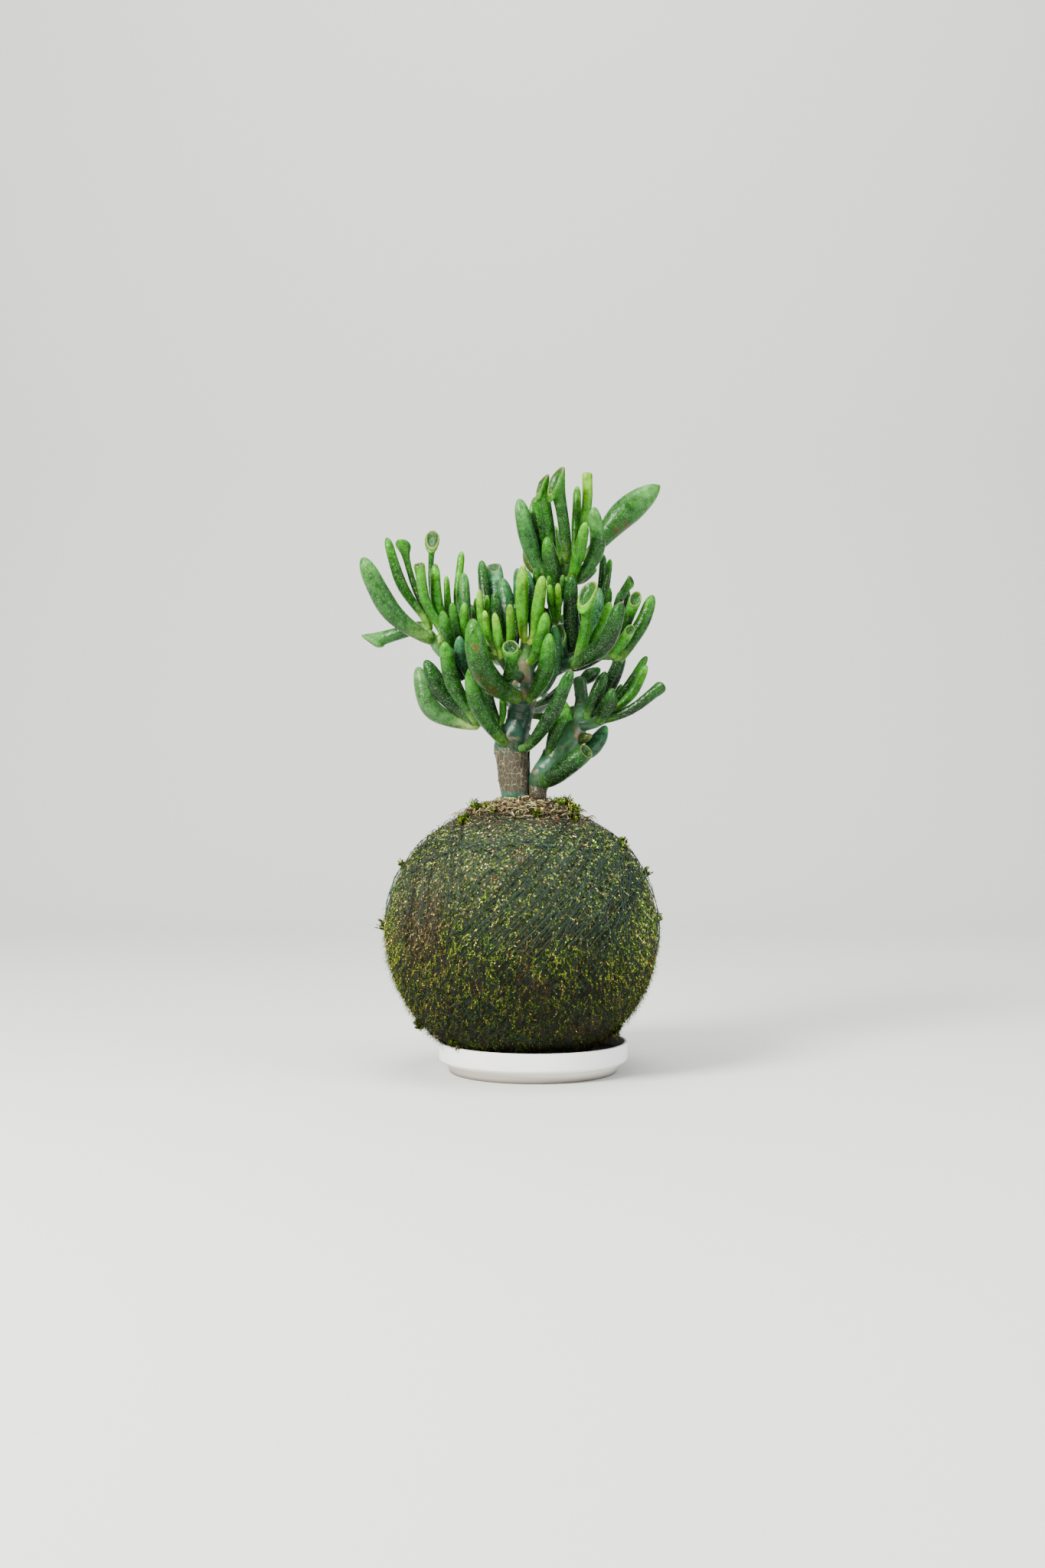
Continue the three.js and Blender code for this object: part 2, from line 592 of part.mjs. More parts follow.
// One turn of thread round the ball, as a ring whose plane leans from level towards a heading.
function threadTurn(lean, heading, offset) {
  const ring = new THREE.TorusGeometry(1, THREAD_RADIUS, 3, THREAD_STEPS);
  const place = ring.attributes.position;
  const axis = new THREE.Vector3(
    Math.sin(lean) * Math.cos(heading),
    Math.sin(lean) * Math.sin(heading),
    Math.cos(lean),
  );
  const first = new THREE.Vector3(-Math.sin(heading), Math.cos(heading), 0);
  const second = axis.clone().cross(first);
  for (let i = 0; i < place.count; i += 1) {
    const x = place.getX(i);
    const y = place.getY(i);
    const radial = Math.hypot(x, y);
    const direction = first.clone().multiplyScalar((x / radial) * Math.sqrt(1 - offset * offset))
      .addScaledVector(second, (y / radial) * Math.sqrt(1 - offset * offset))
      .addScaledVector(axis, offset);
    const lift = SEAT_GAP + 1.5 * THREAD_RADIUS + (radial - 1);
    const point = ballPoint(direction, lift).addScaledVector(axis, place.getZ(i));
    point.z = Math.max(point.z, SAUCER_FLOOR + SEAT_GAP);
    place.setXYZ(i, point.x, point.y, point.z);
  }
  return toSolid(ring);
}

function threadSolid() {
  const { degToRad } = THREE.MathUtils;
  return joined(THREAD_TURNS.map(([lean, side, offset]) => threadTurn(degToRad(lean), degToRad(side), offset)));
}

function saucerSolid() {
  const inner = SAUCER_RIM_RADIUS - SAUCER_WALL;
  const footInner = SAUCER_FOOT_RADIUS - 4;
  const saucer = turned([
    [0, 0], [SAUCER_FOOT_RADIUS, 0], [SAUCER_FOOT_RADIUS + 0.6, SAUCER_STEP_HEIGHT - 1],
    [SAUCER_RIM_RADIUS - 2.5, SAUCER_STEP_HEIGHT], [SAUCER_RIM_RADIUS - 0.5, SAUCER_STEP_HEIGHT + 1.4],
    [SAUCER_RIM_RADIUS, SAUCER_STEP_HEIGHT + 3.4], [SAUCER_RIM_RADIUS, SAUCER_HEIGHT - 0.6],
    [SAUCER_RIM_RADIUS - 0.6, SAUCER_HEIGHT], [inner + 0.4, SAUCER_HEIGHT], [inner, SAUCER_HEIGHT - 0.6],
    [inner, SAUCER_STEP_HEIGHT + 3.4], [footInner + 4, SAUCER_STEP_HEIGHT], [footInner, SAUCER_FLOOR],
    [0, SAUCER_FLOOR],
  ], SAUCER_SIDES);
  saucer.rotateX(Math.PI / 2);
  return toSolid(saucer);
}

// Each shoot is cut back by the ones before it, so that it sits on them with the clearance left open.
function crownSolids() {
  const solids = {};
  const thick = [];
  for (const [name, shoot] of Object.entries(SHOOTS)) {
    let solid = shootSolid(shoot, 0);
    for (const other of thick) solid = solid.subtract(other);
    solids[name] = solid;
    thick.push(shootSolid(shoot, SEAT_GAP * 1.15));
  }
  return { solids, thick };
}

const part = new THREE.Group();

function addPiece(name, solid, colour, roughness) {
  const material = new THREE.MeshStandardMaterial({ color: colour, roughness, metalness: 0 });
  const mesh = new THREE.Mesh(toGeometry(largestBody(solid.simplify(JOIN_TOLERANCE))), material);
  mesh.name = name;
  part.add(mesh);
}

const crown = crownSolids();
const stems = joined([shootSolid({ ...SHOOTS.main_stem, leaves: [] }, SEAT_GAP * 1.15),
  shootSolid({ ...SHOOTS.branch_lower_right, leaves: [] }, SEAT_GAP * 1.15)]);

addPiece('saucer', saucerSolid(), '#dcdcdc', 0.35);
addPiece('soil_core', soilSolid().subtract(stems), '#3a2c20', 0.95);
addPiece('moss_ball', mossSolid(), '#4a6a1f', 0.95);
addPiece('top_dressing', dressingSolid().subtract(stems), '#8a6a45', 0.9);
addPiece('binding_thread', threadSolid(), '#2b3b3a', 0.7);
for (const [name, solid] of Object.entries(crown.solids)) {
  addPiece(name, solid, SHOOTS[name].colour, 0.35);
}

export default part;
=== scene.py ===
# Moss ball plant: a finger-leaved jade plant growing out of a moss ball bound with thread, standing
# in a small white saucer. Shapes are worked out in millimetres with the front along -Y, and each
# mesh is turned into metres as it is made.
import bpy
import numpy as np
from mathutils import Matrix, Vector


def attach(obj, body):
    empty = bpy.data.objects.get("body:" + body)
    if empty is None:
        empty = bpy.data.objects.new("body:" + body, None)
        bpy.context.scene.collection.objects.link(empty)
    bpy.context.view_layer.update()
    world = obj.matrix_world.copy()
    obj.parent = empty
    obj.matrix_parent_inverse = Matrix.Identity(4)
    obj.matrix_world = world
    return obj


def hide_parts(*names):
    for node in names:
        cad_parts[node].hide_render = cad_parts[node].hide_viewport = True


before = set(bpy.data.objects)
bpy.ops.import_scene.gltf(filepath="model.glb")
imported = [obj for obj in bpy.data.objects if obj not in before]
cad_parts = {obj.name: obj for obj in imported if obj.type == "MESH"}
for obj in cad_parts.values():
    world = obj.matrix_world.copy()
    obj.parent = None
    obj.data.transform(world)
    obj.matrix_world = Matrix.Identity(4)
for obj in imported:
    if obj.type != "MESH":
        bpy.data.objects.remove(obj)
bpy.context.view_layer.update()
metre = 0.001                     # one millimetre
goldenAngle = 2.39996
curveSamples = 401                # points at which a curve's length is measured

# The picture that the stems and leaves were read from: millimetres a pixel, the pixel column of the
# plant's axis, the pixel row of the ground, and the place of the eye
picture = dict(scale=0.4, axisX=696.5, groundY=1398.2, eye=(-5.6, -932.0, 149.7))
eye = np.array(picture["eye"])


# An sRGB hex colour as linear light: ((c + 0.055) / 1.055) to the power 2.4, or c / 12.92 when dark.
def linear(hexColour):
    c = np.array([int(hexColour[i:i + 2], 16) for i in (1, 3, 5)]) / 255
    return np.where(c > 0.04045, ((c + 0.055) / 1.055) ** 2.4, c / 12.92)


# The same colour as a node's socket takes it, opaque.
def rgba(hexColour):
    return (*linear(hexColour), 1.0)


# Adds one node, sets its properties, and fills or links its sockets: by name or number, or in their
# own order from a plain row of values, which for MapRange is value, from min, from max, to min, to max.
def addNode(tree, kind, sockets=(), **settings):
    node = tree.nodes.new("ShaderNode" + kind)
    for name, value in settings.items():
        setattr(node, name, value)
    for socket, value in (sockets if isinstance(sockets, dict) else dict(enumerate(sockets))).items():
        if isinstance(value, bpy.types.NodeSocket):
            tree.links.new(value, node.inputs[socket])
        else:
            node.inputs[socket].default_value = value
    return node.outputs


# A new material: its node tree, its Principled shader with the values that don't vary, and the place
# on the object that its patterns read.
def newMaterial(name, **values):
    material = bpy.data.materials.new(name)
    material.use_nodes = True
    shader = material.node_tree.nodes["Principled BSDF"]
    for socket, value in values.items():
        shader.inputs[socket.replace("_", " ")].default_value = value
    return material, material.node_tree, shader, addNode(material.node_tree, "TexCoord")["Object"]


# The piece's tint, made darker and lighter by a noise: its factor runs from low to high, and the tint
# is scaled from dark to light. Gives the noise and the colour.
def mottled(tree, place, noise, low, high, dark, light):
    noise = addNode(tree, "TexNoise", dict(noise, Vector=place))["Fac"]
    shade = addNode(tree, "MapRange", (noise, low, high, dark, light))["Result"]
    tint = addNode(tree, "Attribute", attribute_name="tint")["Color"]
    return noise, addNode(tree, "VectorMath", {0: tint, "Scale": shade}, operation="SCALE")["Vector"]


# Links outputs to the shader's sockets, whose names have _ for a space.
def wire(shader, **outputs):
    for socket, output in outputs.items():
        shader.id_data.links.new(output, shader.inputs[socket.replace("_", " ")])


# 0 below 0, 1 above 1, and 3t^2 - 2t^3 between.
def smooth(t):
    t = np.clip(t, 0, 1)
    return t * t * (3 - 2 * t)


# Value noise: random numbers from -1 to 1 on a cubic lattice that repeats every 24 cells, blended by
# 3t^2 - 2t^3 between corners. The points are moved by 100 cells, to where all are positive.
def cloudNoise(points, cell, seed):
    repeat = 24
    lattice = np.random.default_rng(seed).uniform(-1, 1, (repeat, repeat, repeat))
    scaled = points / cell + 100
    base = np.floor(scaled).astype(int)
    t = smooth(scaled - base)
    total = 0
    for corner in np.ndindex(2, 2, 2):
        weight = np.prod(np.where(corner, t, 1 - t), axis=-1)
        i, j, k = np.moveaxis((base + corner) % repeat, -1, 0)
        total = total + weight * lattice[i, j, k]
    return total


# Even angles round a circle.
def angles(count):
    return np.arange(count) * 2 * np.pi / count


# From a to b by the share t.
def between(a, b, t):
    return a + (b - a) * t


# Vectors divided by their own length.
def unit(vectors):
    return vectors / np.maximum(np.linalg.norm(vectors, axis=-1, keepdims=True), 1e-9)


# A picture pixel at a depth behind the axis:
# eye + (point on the axis plane - eye) * (depth - eyeY) / -eyeY.
def placed(pixels):
    pixels = np.atleast_2d(np.array(pixels, float))
    flat = np.stack([
        (pixels[:, 0] - picture["axisX"]) * picture["scale"],
        np.zeros(len(pixels)),
        (picture["groundY"] - pixels[:, 1]) * picture["scale"],
    ], 1)
    return eye + (flat - eye) * ((pixels[:, 2:3] - eye[1]) / -eye[1])


# Centripetal Catmull-Rom curve: a cubic between neighbours, its tangents weighted by the square root
# of each step's length, and each end carried on by its neighbour's mirror image.
def splined(points, shares):
    ends = np.vstack([2 * points[0] - points[1], points, 2 * points[-1] - points[-2]])
    step = np.sqrt(np.linalg.norm(np.diff(ends, axis=0), axis=1))
    place = np.clip(shares, 0, 1) * (len(points) - 1)
    i = np.minimum(place.astype(int), len(points) - 2)
    t = (place - i)[:, None]
    p0, p1, p2, p3 = (ends[i + k] for k in range(4))
    d0, d1, d2 = (step[i + k][:, None] for k in range(3))
    m1 = d1 * ((p1 - p0) / d0 - (p2 - p0) / (d0 + d1) + (p2 - p1) / d1)
    m2 = d1 * ((p2 - p1) / d1 - (p3 - p1) / (d1 + d2) + (p3 - p2) / d2)
    return p1 + t * m1 + t**2 * (3 * (p2 - p1) - 2 * m1 - m2) + t**3 * (2 * (p1 - p2) + m1 + m2)


# Lengths of the chords between even shares of a curve.
def chords(points):
    return np.linalg.norm(np.diff(splined(points, np.linspace(0, 1, curveSamples)), axis=0), axis=1)


# Places and directions at shares of a curve's length, or of its count of points where byLength is
# off. Past both ends it runs on straight.
def follow(points, shares, byLength=True):
    dense, run = np.linspace(0, 1, curveSamples), np.concatenate([[0], np.cumsum(chords(points))])
    inside = np.clip(shares, 0, 1)
    at = np.interp(inside * run[-1], run, dense) if byLength else inside
    heading = unit(splined(points, at + 1e-3) - splined(points, at - 1e-3))
    return splined(points, at) + heading * ((shares - inside) * run[-1])[:, None], heading


# Quads between neighbouring rows of a grid whose columns close on themselves, and its rows too where
# closed is on.
def gridQuads(rows, columns, closed=False):
    row, column = np.meshgrid(np.arange(rows if closed else rows - 1), np.arange(columns), indexing="ij")
    below, above = row * columns, (row + 1) % rows * columns
    beside = (column + 1) % columns
    return np.stack([below + column, below + beside, above + beside, above + column], -1).reshape(-1, 4)


# A closed tube from rings of points: quads between rings, and a fan to the middle of each end ring.
# Its tint and marks are given for each ring or for each point.
def tube(rings, tint, marks, slot=0):
    rows, sides = rings.shape[:2]
    last = rows * sides
    edge = np.arange(sides)
    near = np.roll(edge, -1)
    tris = np.vstack([
        np.stack([near, edge, np.full(sides, last)], 1),
        np.stack([edge + last - sides, near + last - sides, np.full(sides, last + 1)], 1),
    ])

    def spread(values):
        values = np.asarray(values, float)
        values = values[:, None] if values.ndim == 2 else values
        values = np.broadcast_to(values, (rows, sides, 3))
        return np.vstack([values.reshape(-1, 3), values[0].mean(0), values[-1].mean(0)])

    return dict(verts=spread(rings), quads=gridQuads(rows, sides), tris=tris,
                tint=spread(tint), marks=spread(marks), slot=slot)


# Joins parts into one: their points in a row, each part's faces counted on from its first point.
def gathered(parts):
    starts = np.cumsum([0] + [len(part["verts"]) for part in parts[:-1]])
    values, faces = ([key for key in keys if key in parts[0]]
                     for keys in (("verts", "tint", "marks"), ("quads", "tris")))
    joined = {key: np.vstack([part[key] for part in parts]) for key in values}
    for key in faces:
        joined[key] = np.vstack([part[key] + start for part, start in zip(parts, starts)])
    slots = [np.full(len(part[key]), part["slot"]) for key in faces for part in parts]
    return dict(joined, slots=np.concatenate(slots))


def addPiece(name, part, materials, node=None):
    quads = part.get("quads", np.zeros((0, 4), int))
    tris = part.get("tris", np.zeros((0, 3), int))
    sizes = np.concatenate([np.full(len(quads), 4), np.full(len(tris), 3)])
    mesh = bpy.data.meshes.new(name)
    mesh.vertices.add(len(part["verts"]))
    mesh.vertices.foreach_set("co", (part["verts"] * metre).astype(np.float32).ravel())
    mesh.loops.add(int(sizes.sum()))
    mesh.loops.foreach_set("vertex_index", np.concatenate([quads.ravel(), tris.ravel()]).astype(np.int32))
    mesh.polygons.add(len(sizes))
    mesh.polygons.foreach_set("loop_start", (np.cumsum(sizes) - sizes).astype(np.int32))
    mesh.polygons.foreach_set("use_smooth", np.full(len(sizes), part.get("rounded", True)))
    for material in materials:
        mesh.materials.append(material)
    if "slots" in part:
        mesh.polygons.foreach_set("material_index", part["slots"].astype(np.int32))
    mesh.update(calc_edges=True)
    tint = mesh.attributes.new("tint", "FLOAT_COLOR", "POINT")
    tint.data.foreach_set("color", np.insert(part["tint"], 3, 1, axis=1).astype(np.float32).ravel())
    if "marks" in part:
        marks = mesh.attributes.new("marks", "FLOAT_VECTOR", "POINT")
        marks.data.foreach_set("vector", part["marks"].astype(np.float32).ravel())
    piece = bpy.data.objects.new(name, mesh)
    bpy.context.collection.objects.link(piece)
    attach(piece, "root")
    if node:
        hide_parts(node)
    print(f"{name}: {len(quads) * 2 + len(tris)} triangles")
    return piece


# Leaf colours, each from its root over its middle to its tip
leafTones = dict(
    young=("#94b644", "#347407", "#68a012"),
    fresh=("#74a234", "#226207", "#449012"),
    mid=("#5a8a2c", "#123e06", "#2f7414"),
    deep=("#3c6a24", "#0a2a06", "#194c13"),
    blue=("#4c7840", "#123c1c", "#34703e"),
    grey=("#5c8a38", "#1e4c18", "#468438"),
    pale=("#829f58", "#305a2e", "#4c8048"),
    olive=("#5a6428", "#2c3c10", "#465c22"),
)
leafLook = dict(
    neck=0.54,                    # thickness at the root as a share of the fullest
    fullest=0.62,                 # share of the length where the leaf is full
    sides=16, rows=17, capRows=8, headRows=34, pointRows=28,
    dent=0.05,                    # unevenness as a share of the radius
    taper=0.22,                   # how much slimmer a blunt leaf gets towards its tip
    fill=1.13,                    # fullness of the flesh against the width read from the picture
    cap=2.0, capMost=0.5,         # length of a blunt end in radii, and its largest share of the leaf
    flare=1.7, flareMost=0.36,    # length of a cup's flare in head radii, and its largest share
    dishDepth=0.5,                # depth of a cup in head radii
    # dish: painted shade in the hollow of a cup
    lip="#7aa83c", dish="#123c12", tipDot="#6a3420", crust="#523620", scuff="#dbe8d2",
)

# Sides that the front of a leaf may be turned to
leftFace, frontFace = (-1, -0.35, 0), (0, -1, 0)
leftFront, rightFront = (-0.7, -0.7, 0), (0.7, -0.7, 0)


# A leaf's points in the picture, its width in pixels, its tip's depth in millimetres and its tone.
def leaf(base, mid, tip, width, depth, tone, **more):
    return dict(base=base, mid=mid, tip=tip, width=width, depth=depth, tone=tone, **more)


# Thickness along a leaf: the neck at its root, growing by 3t^2 - 2t^3 to full.
def swell(share):
    return between(leafLook["neck"], 1, smooth(share / leafLook["fullest"]))


# Blunt leaf: the swelling shaft, a little slimmer towards the tip, then an elliptic cap
# radius * cos(t) at 1 - cap + cap * sin(t).
def bluntProfile(radius, length):
    cap = min(leafLook["cap"] * radius / length, leafLook["capMost"])
    shaft = np.linspace(0, 1 - cap, leafLook["rows"])[:-1]
    turn = np.linspace(0, 1.46, leafLook["capRows"])
    shares = np.concatenate([shaft, 1 - cap + cap * np.sin(turn)])
    radii = np.concatenate([radius * swell(shaft), radius * np.cos(turn)])
    return shares, radii * (1 - leafLook["taper"] * smooth((shares - 0.5) / 0.5)), np.zeros(len(shares))


# A profile drawn through a few (share, radius) points by the same curve as the stems.
def drawnProfile(points, length, rows):
    points = np.array(points, float)
    line = splined(points * (length, 1), np.linspace(0, 1, rows))
    return line[:, 0] / length, np.maximum(line[:, 1], 0.02)


# Spoon-shaped leaf with a pointed end: a thin neck, full at 0.72 of its length, drawn through
# (share, share of the radius) points.
def pointedProfile(radius, length):
    shape = np.array([(0, 0.34), (0.2, 0.4), (0.4, 0.7), (0.58, 0.96),
                      (0.72, 1), (0.88, 0.74), (0.96, 0.4), (1, 0.08)])
    shares, radii = drawnProfile(shape * (1, radius), length, leafLook["pointRows"])
    return shares, radii, np.zeros(len(shares))


# Cupped leaf: the shaft flares to the head, turns over a rounded lip and goes down into the dish.
def cupProfile(radius, head, length):
    dish = leafLook["dishDepth"] * head / length
    flare = min(leafLook["flare"] * head / length, leafLook["flareMost"])
    points = [
        (0, leafLook["neck"] * radius), (0.35, radius * swell(0.35)), (1 - flare, 0.95 * radius),
        (1 - dish * 0.5, head), (1 + 0.04 * dish, 0.86 * head), (1 - dish * 0.2, 0.66 * head),
        (1 - dish * 0.85, 0.42 * head), (1 - dish, 0.06 * head),
    ]
    shares, radii = drawnProfile(points, length, leafLook["headRows"])
    step = np.linspace(0, 7, leafLook["headRows"])
    return shares, radii, smooth((step - 3.9) / 1.2)


# Side that the front of a leaf is turned to: the given one, or else the viewer, and up for a leaf
# that itself runs front to back.
def facingOf(points, face):
    if face:
        return unit(np.array(face, float))
    chord = unit(points[-1] - points[0])
    return np.array((0.0, 0, 1)) if abs(chord[1]) > 0.85 else np.array((0.0, -1, 0))


# Rings carried along a path: place + out * r cos(a) + across * r sin(a), where out faces the given
# side. Beyond three quarters the head leans, -tilt * r cos(a) along the path, and its near lip drops
# by drop * r cos(a) more.
def carried(points, shares, radii, sides, face=None, tilt=0, drop=0, byLength=True):
    place, heading = follow(points, shares, byLength)
    facing = facingOf(points, face)
    out = unit(facing - heading * (heading @ facing)[:, None])
    across = np.cross(out, heading)
    turn = angles(sides)
    radii = np.asarray(radii) if np.ndim(radii) == 2 else np.asarray(radii)[:, None]
    radii = np.broadcast_to(radii, (len(shares), sides))
    sunk = radii * np.cos(turn)
    lean = -(tilt * sunk + drop * np.maximum(sunk, 0)) * smooth((shares - 0.75) / 0.2)[:, None]
    return (place[:, None] + out[:, None] * sunk[..., None]
            + across[:, None] * (radii * np.sin(turn))[..., None] + heading[:, None] * lean[..., None])


# One leaf as a tube: its rings dented by slow sine waves round and along it, its tint shaded from
# root to tip, and its marks holding share, lip and scar.
def leafTube(points, profile, tone, rng, face=None, tilt=0, drop=0, scars=()):
    shares, radii, inside = profile
    turn = angles(leafLook["sides"])
    phase = rng.uniform(0, 2 * np.pi, 3)
    dent = (np.sin(turn[None] + phase[0] + 3 * shares[:, None]) * np.sin(7 * shares[:, None] + phase[1])
            + 0.6 * np.sin(2 * turn[None] + phase[2] + 5 * shares[:, None]))
    radii = radii[:, None] * (1 + leafLook["dent"] * dent * (1 - inside[:, None]))
    rings = carried(points, shares, radii, leafLook["sides"], face, tilt, drop)
    root, middle, tip = (linear(colour) for colour in leafTones[tone])
    shade = between(root, middle, smooth(shares / 0.34)[:, None])
    shade = between(shade, tip, (0.85 * smooth((shares - 0.62) / 0.38))[:, None])
    shade = shade * rng.uniform(0.86, 1.14) * (1, rng.uniform(0.97, 1.03), rng.uniform(0.8, 1.2))
    # painted shade: the hollow of a cup is darkened towards the dish colour
    shade = between(shade, linear(leafLook["dish"]), (0.9 * smooth(1.6 * inside))[:, None])
    lip = np.where(inside > 0, 1 - np.abs(5 * inside - 0.6), 0).clip(0, 1)
    marks = np.zeros((len(shares), leafLook["sides"], 3))
    marks[..., 0] = shares[:, None]
    marks[..., 1] = lip[:, None]
    for x, y, reach in scars:
        spot = (seenAt(rings) - (x, y)) / (reach, 1.7 * reach)
        front = rings[..., 1] < points[:, 1].mean() + 2
        marks[..., 2] += np.exp(-(spot**2).sum(-1)) * front
    return tube(rings, shade[:, None], marks)


# Picture pixel of each point: where its sight line crosses the axis plane.
def seenAt(points):
    flat = eye + (points - eye) * (-eye[1] / (points[..., 1:2] - eye[1]))
    return np.stack([flat[..., 0] / picture["scale"] + picture["axisX"],
                     picture["groundY"] - flat[..., 2] / picture["scale"]], -1)


# A leaf grows from the point of its shoot's stems that is nearest to its base in the picture.
def leafPath(stems, spec):
    wanted = np.array(spec.get("root", spec["base"]), float)
    line = np.vstack([splined(placed(stem)[:, :3], np.linspace(0, 1, 61)) for stem in
                      ([point[:3] for point in stem] for stem in stems)])
    root = line[np.linalg.norm(seenAt(line) - wanted, axis=1).argmin()]
    reach = spec["depth"] - root[1]
    rest = placed([
        (*spec["base"], root[1] + 0.25 * reach),
        (*spec["mid"], root[1] + spec.get("middle", 0.65) * reach),
        (*spec["tip"], spec["depth"]),
    ])
    if np.linalg.norm(rest[0] - root) < 1.2:
        rest = rest[1:]
    return np.vstack([root, rest])


# A leaf of the picture: its radius is fill * width * size / 2, where size is millimetres a pixel at its
# tip's depth, and its profile is cupped, pointed or blunt.
def pictureLeaf(stems, spec, rng):
    points = leafPath(stems, spec)
    size = picture["scale"] * (spec["depth"] - eye[1]) / -eye[1]
    length, radius = chords(points).sum(), leafLook["fill"] * spec["width"] * size / 2
    if "head" in spec:
        profile = cupProfile(radius, spec["head"] * size / 2, length)
    elif spec.get("point"):
        profile = pointedProfile(radius, length)
    else:
        profile = bluntProfile(radius, length)
    extra = {key: spec[key] for key in ("face", "tilt", "drop", "scars") if key in spec}
    return leafTube(points, profile, spec["tone"], rng, **extra)


# Leaves of a shoot behind the crown: a golden angle apart round its stem, the low ones flatter and
# longer, each an arc that dips by 0.06 of its reach at its middle and lifts by 0.06 at its tip.
def whorlLeaf(stem, whorl, number, rng):
    height = (number + 0.5) / whorl["count"]
    root = splined(placed([point[:3] for point in stem]), np.array([0.3 + 0.67 * height]))[0]
    turn = np.radians(whorl["heading"] + whorl["spread"] * ((number * goldenAngle / (2 * np.pi)) % 1 - 0.5))
    rise = np.radians(between(whorl["low"], whorl["high"], height))
    reach = whorl["length"] * (1.05 - 0.35 * height) * (0.85 + 0.3 * ((number * 0.618) % 1))
    outward = np.array((np.cos(turn) * np.cos(rise), np.sin(turn) * np.cos(rise), np.sin(rise))) * reach
    dip = np.array((0, 0, 0.06 * reach))
    points = np.stack([root, root + outward * 0.5 - dip, root + outward + dip])
    radius, length = whorl["width"] / 2 * (0.8 + 0.3 * ((number * 0.382) % 1)), chords(points).sum()
    cupped = number % 4 == 1
    profile = cupProfile(0.85 * radius, 1.15 * radius, length) if cupped else bluntProfile(radius, length)
    tone = whorl["tones"][number % len(whorl["tones"])]
    return leafTube(points, profile, tone, rng, tilt=0.6 if cupped else 0)


stemLook = dict(
    sides=40, rowStep=0.8,        # points round a stem, and millimetres between its rings
    ridge=0.35, ridgeStep=7.3,    # height of the growth rings and millimetres from one to the next
    endRun=(0.15, 0.35, 0.5, 0.58), endWidth=(0.94, 0.76, 0.45, 0.15),    # its rounded end, in radii
    skin="#2a5040", shade="#163224", young="#4a7a3a", fleck="#565038",
    plates=("#221e17", "#4f4838"), crack="#9a9270", scar=("#3c2c20", "#80735a"),
)


# One stem as a tube: its radius runs straight from one given radius to the next, with a low ridge
# every few millimetres, exp(-(distance / 0.5)^2) high, and slow dents. Its marks hold bark between two
# rows of the picture or right of a column, share, and scars round picture points.
def stemTube(stem, spec):
    stem = np.array(stem, float)
    points = placed(stem[:, :3])
    length = chords(points).sum()
    rows = int(length / stemLook["rowStep"])
    shares = np.linspace(0, 1, rows)
    at = shares * (len(stem) - 1)
    radii = np.interp(at, np.arange(len(stem)), stem[:, 3]) * picture["scale"]
    turn = angles(stemLook["sides"])
    run = shares[:, None] * length
    step = stemLook["ridgeStep"]
    ridge = np.exp(-((run % step - 3.6 + 0.5 * np.sin(turn + 1.3 * run // step)) / 0.5) ** 2)
    ridge = stemLook["ridge"] * ridge * min(1, radii.mean() / 6)
    dent = 1 + 0.03 * np.sin(2 * turn + 0.4 * run) + 0.02 * np.sin(5 * turn - 0.3 * run)
    radii = radii[:, None] * dent + ridge
    shares = np.concatenate([shares, 1 + np.array(stemLook["endRun"]) * radii[-1].mean() / length])
    radii = np.vstack([radii, radii[-1] * np.array(stemLook["endWidth"])[:, None]])
    rings = carried(points, shares, radii, stemLook["sides"], byLength=False)
    pixel = seenAt(rings)
    marks = np.zeros(rings.shape)
    wander = 5 * cloudNoise(rings, 3.0, 5)
    column, row = pixel[..., 0], pixel[..., 1]
    for top, bottom in spec.get("bark", ()):
        marks[..., 0] += smooth((row + wander - top) / 6) * smooth((bottom - row + wander) / 6)
    for left, top, bottom in spec.get("streak", ()):
        marks[..., 0] += (0.6 * smooth((column + wander - left) / 5) * smooth((row - top) / 8)
                          * smooth((bottom - row) / 8))
    front = rings[..., 1] < follow(points, shares, False)[0][:, None, 1] + 1
    for x, y, wide, high in spec.get("scars", ()):
        marks[..., 2] += np.exp(-(((pixel - (x, y)) / (wide, high)) ** 4).sum(-1)) * front
    marks[..., 1] = shares.clip(0, 1)[:, None]
    base, shade, young = (linear(stemLook[key]) for key in ("skin", "shade", "young"))
    mix = smooth(0.5 + 0.9 * cloudNoise(rings, 6.0, 8))[..., None]
    tint = between(base, shade, mix)
    greening = spec.get("greening", (0.4, 1.0))
    tint = between(tint, young, (greening[1] * smooth((shares - greening[0]) / 0.6))[:, None, None])
    out = rings - rings.mean(1, keepdims=True)
    rough = 0.12 * cloudNoise(rings, 1.4, 3)[..., None] * marks[..., 0:1]
    rings = rings + unit(out) * (0.25 * marks[..., 2:3] + rough)
    return tube(rings, tint, marks.clip(0, 1), slot=1)


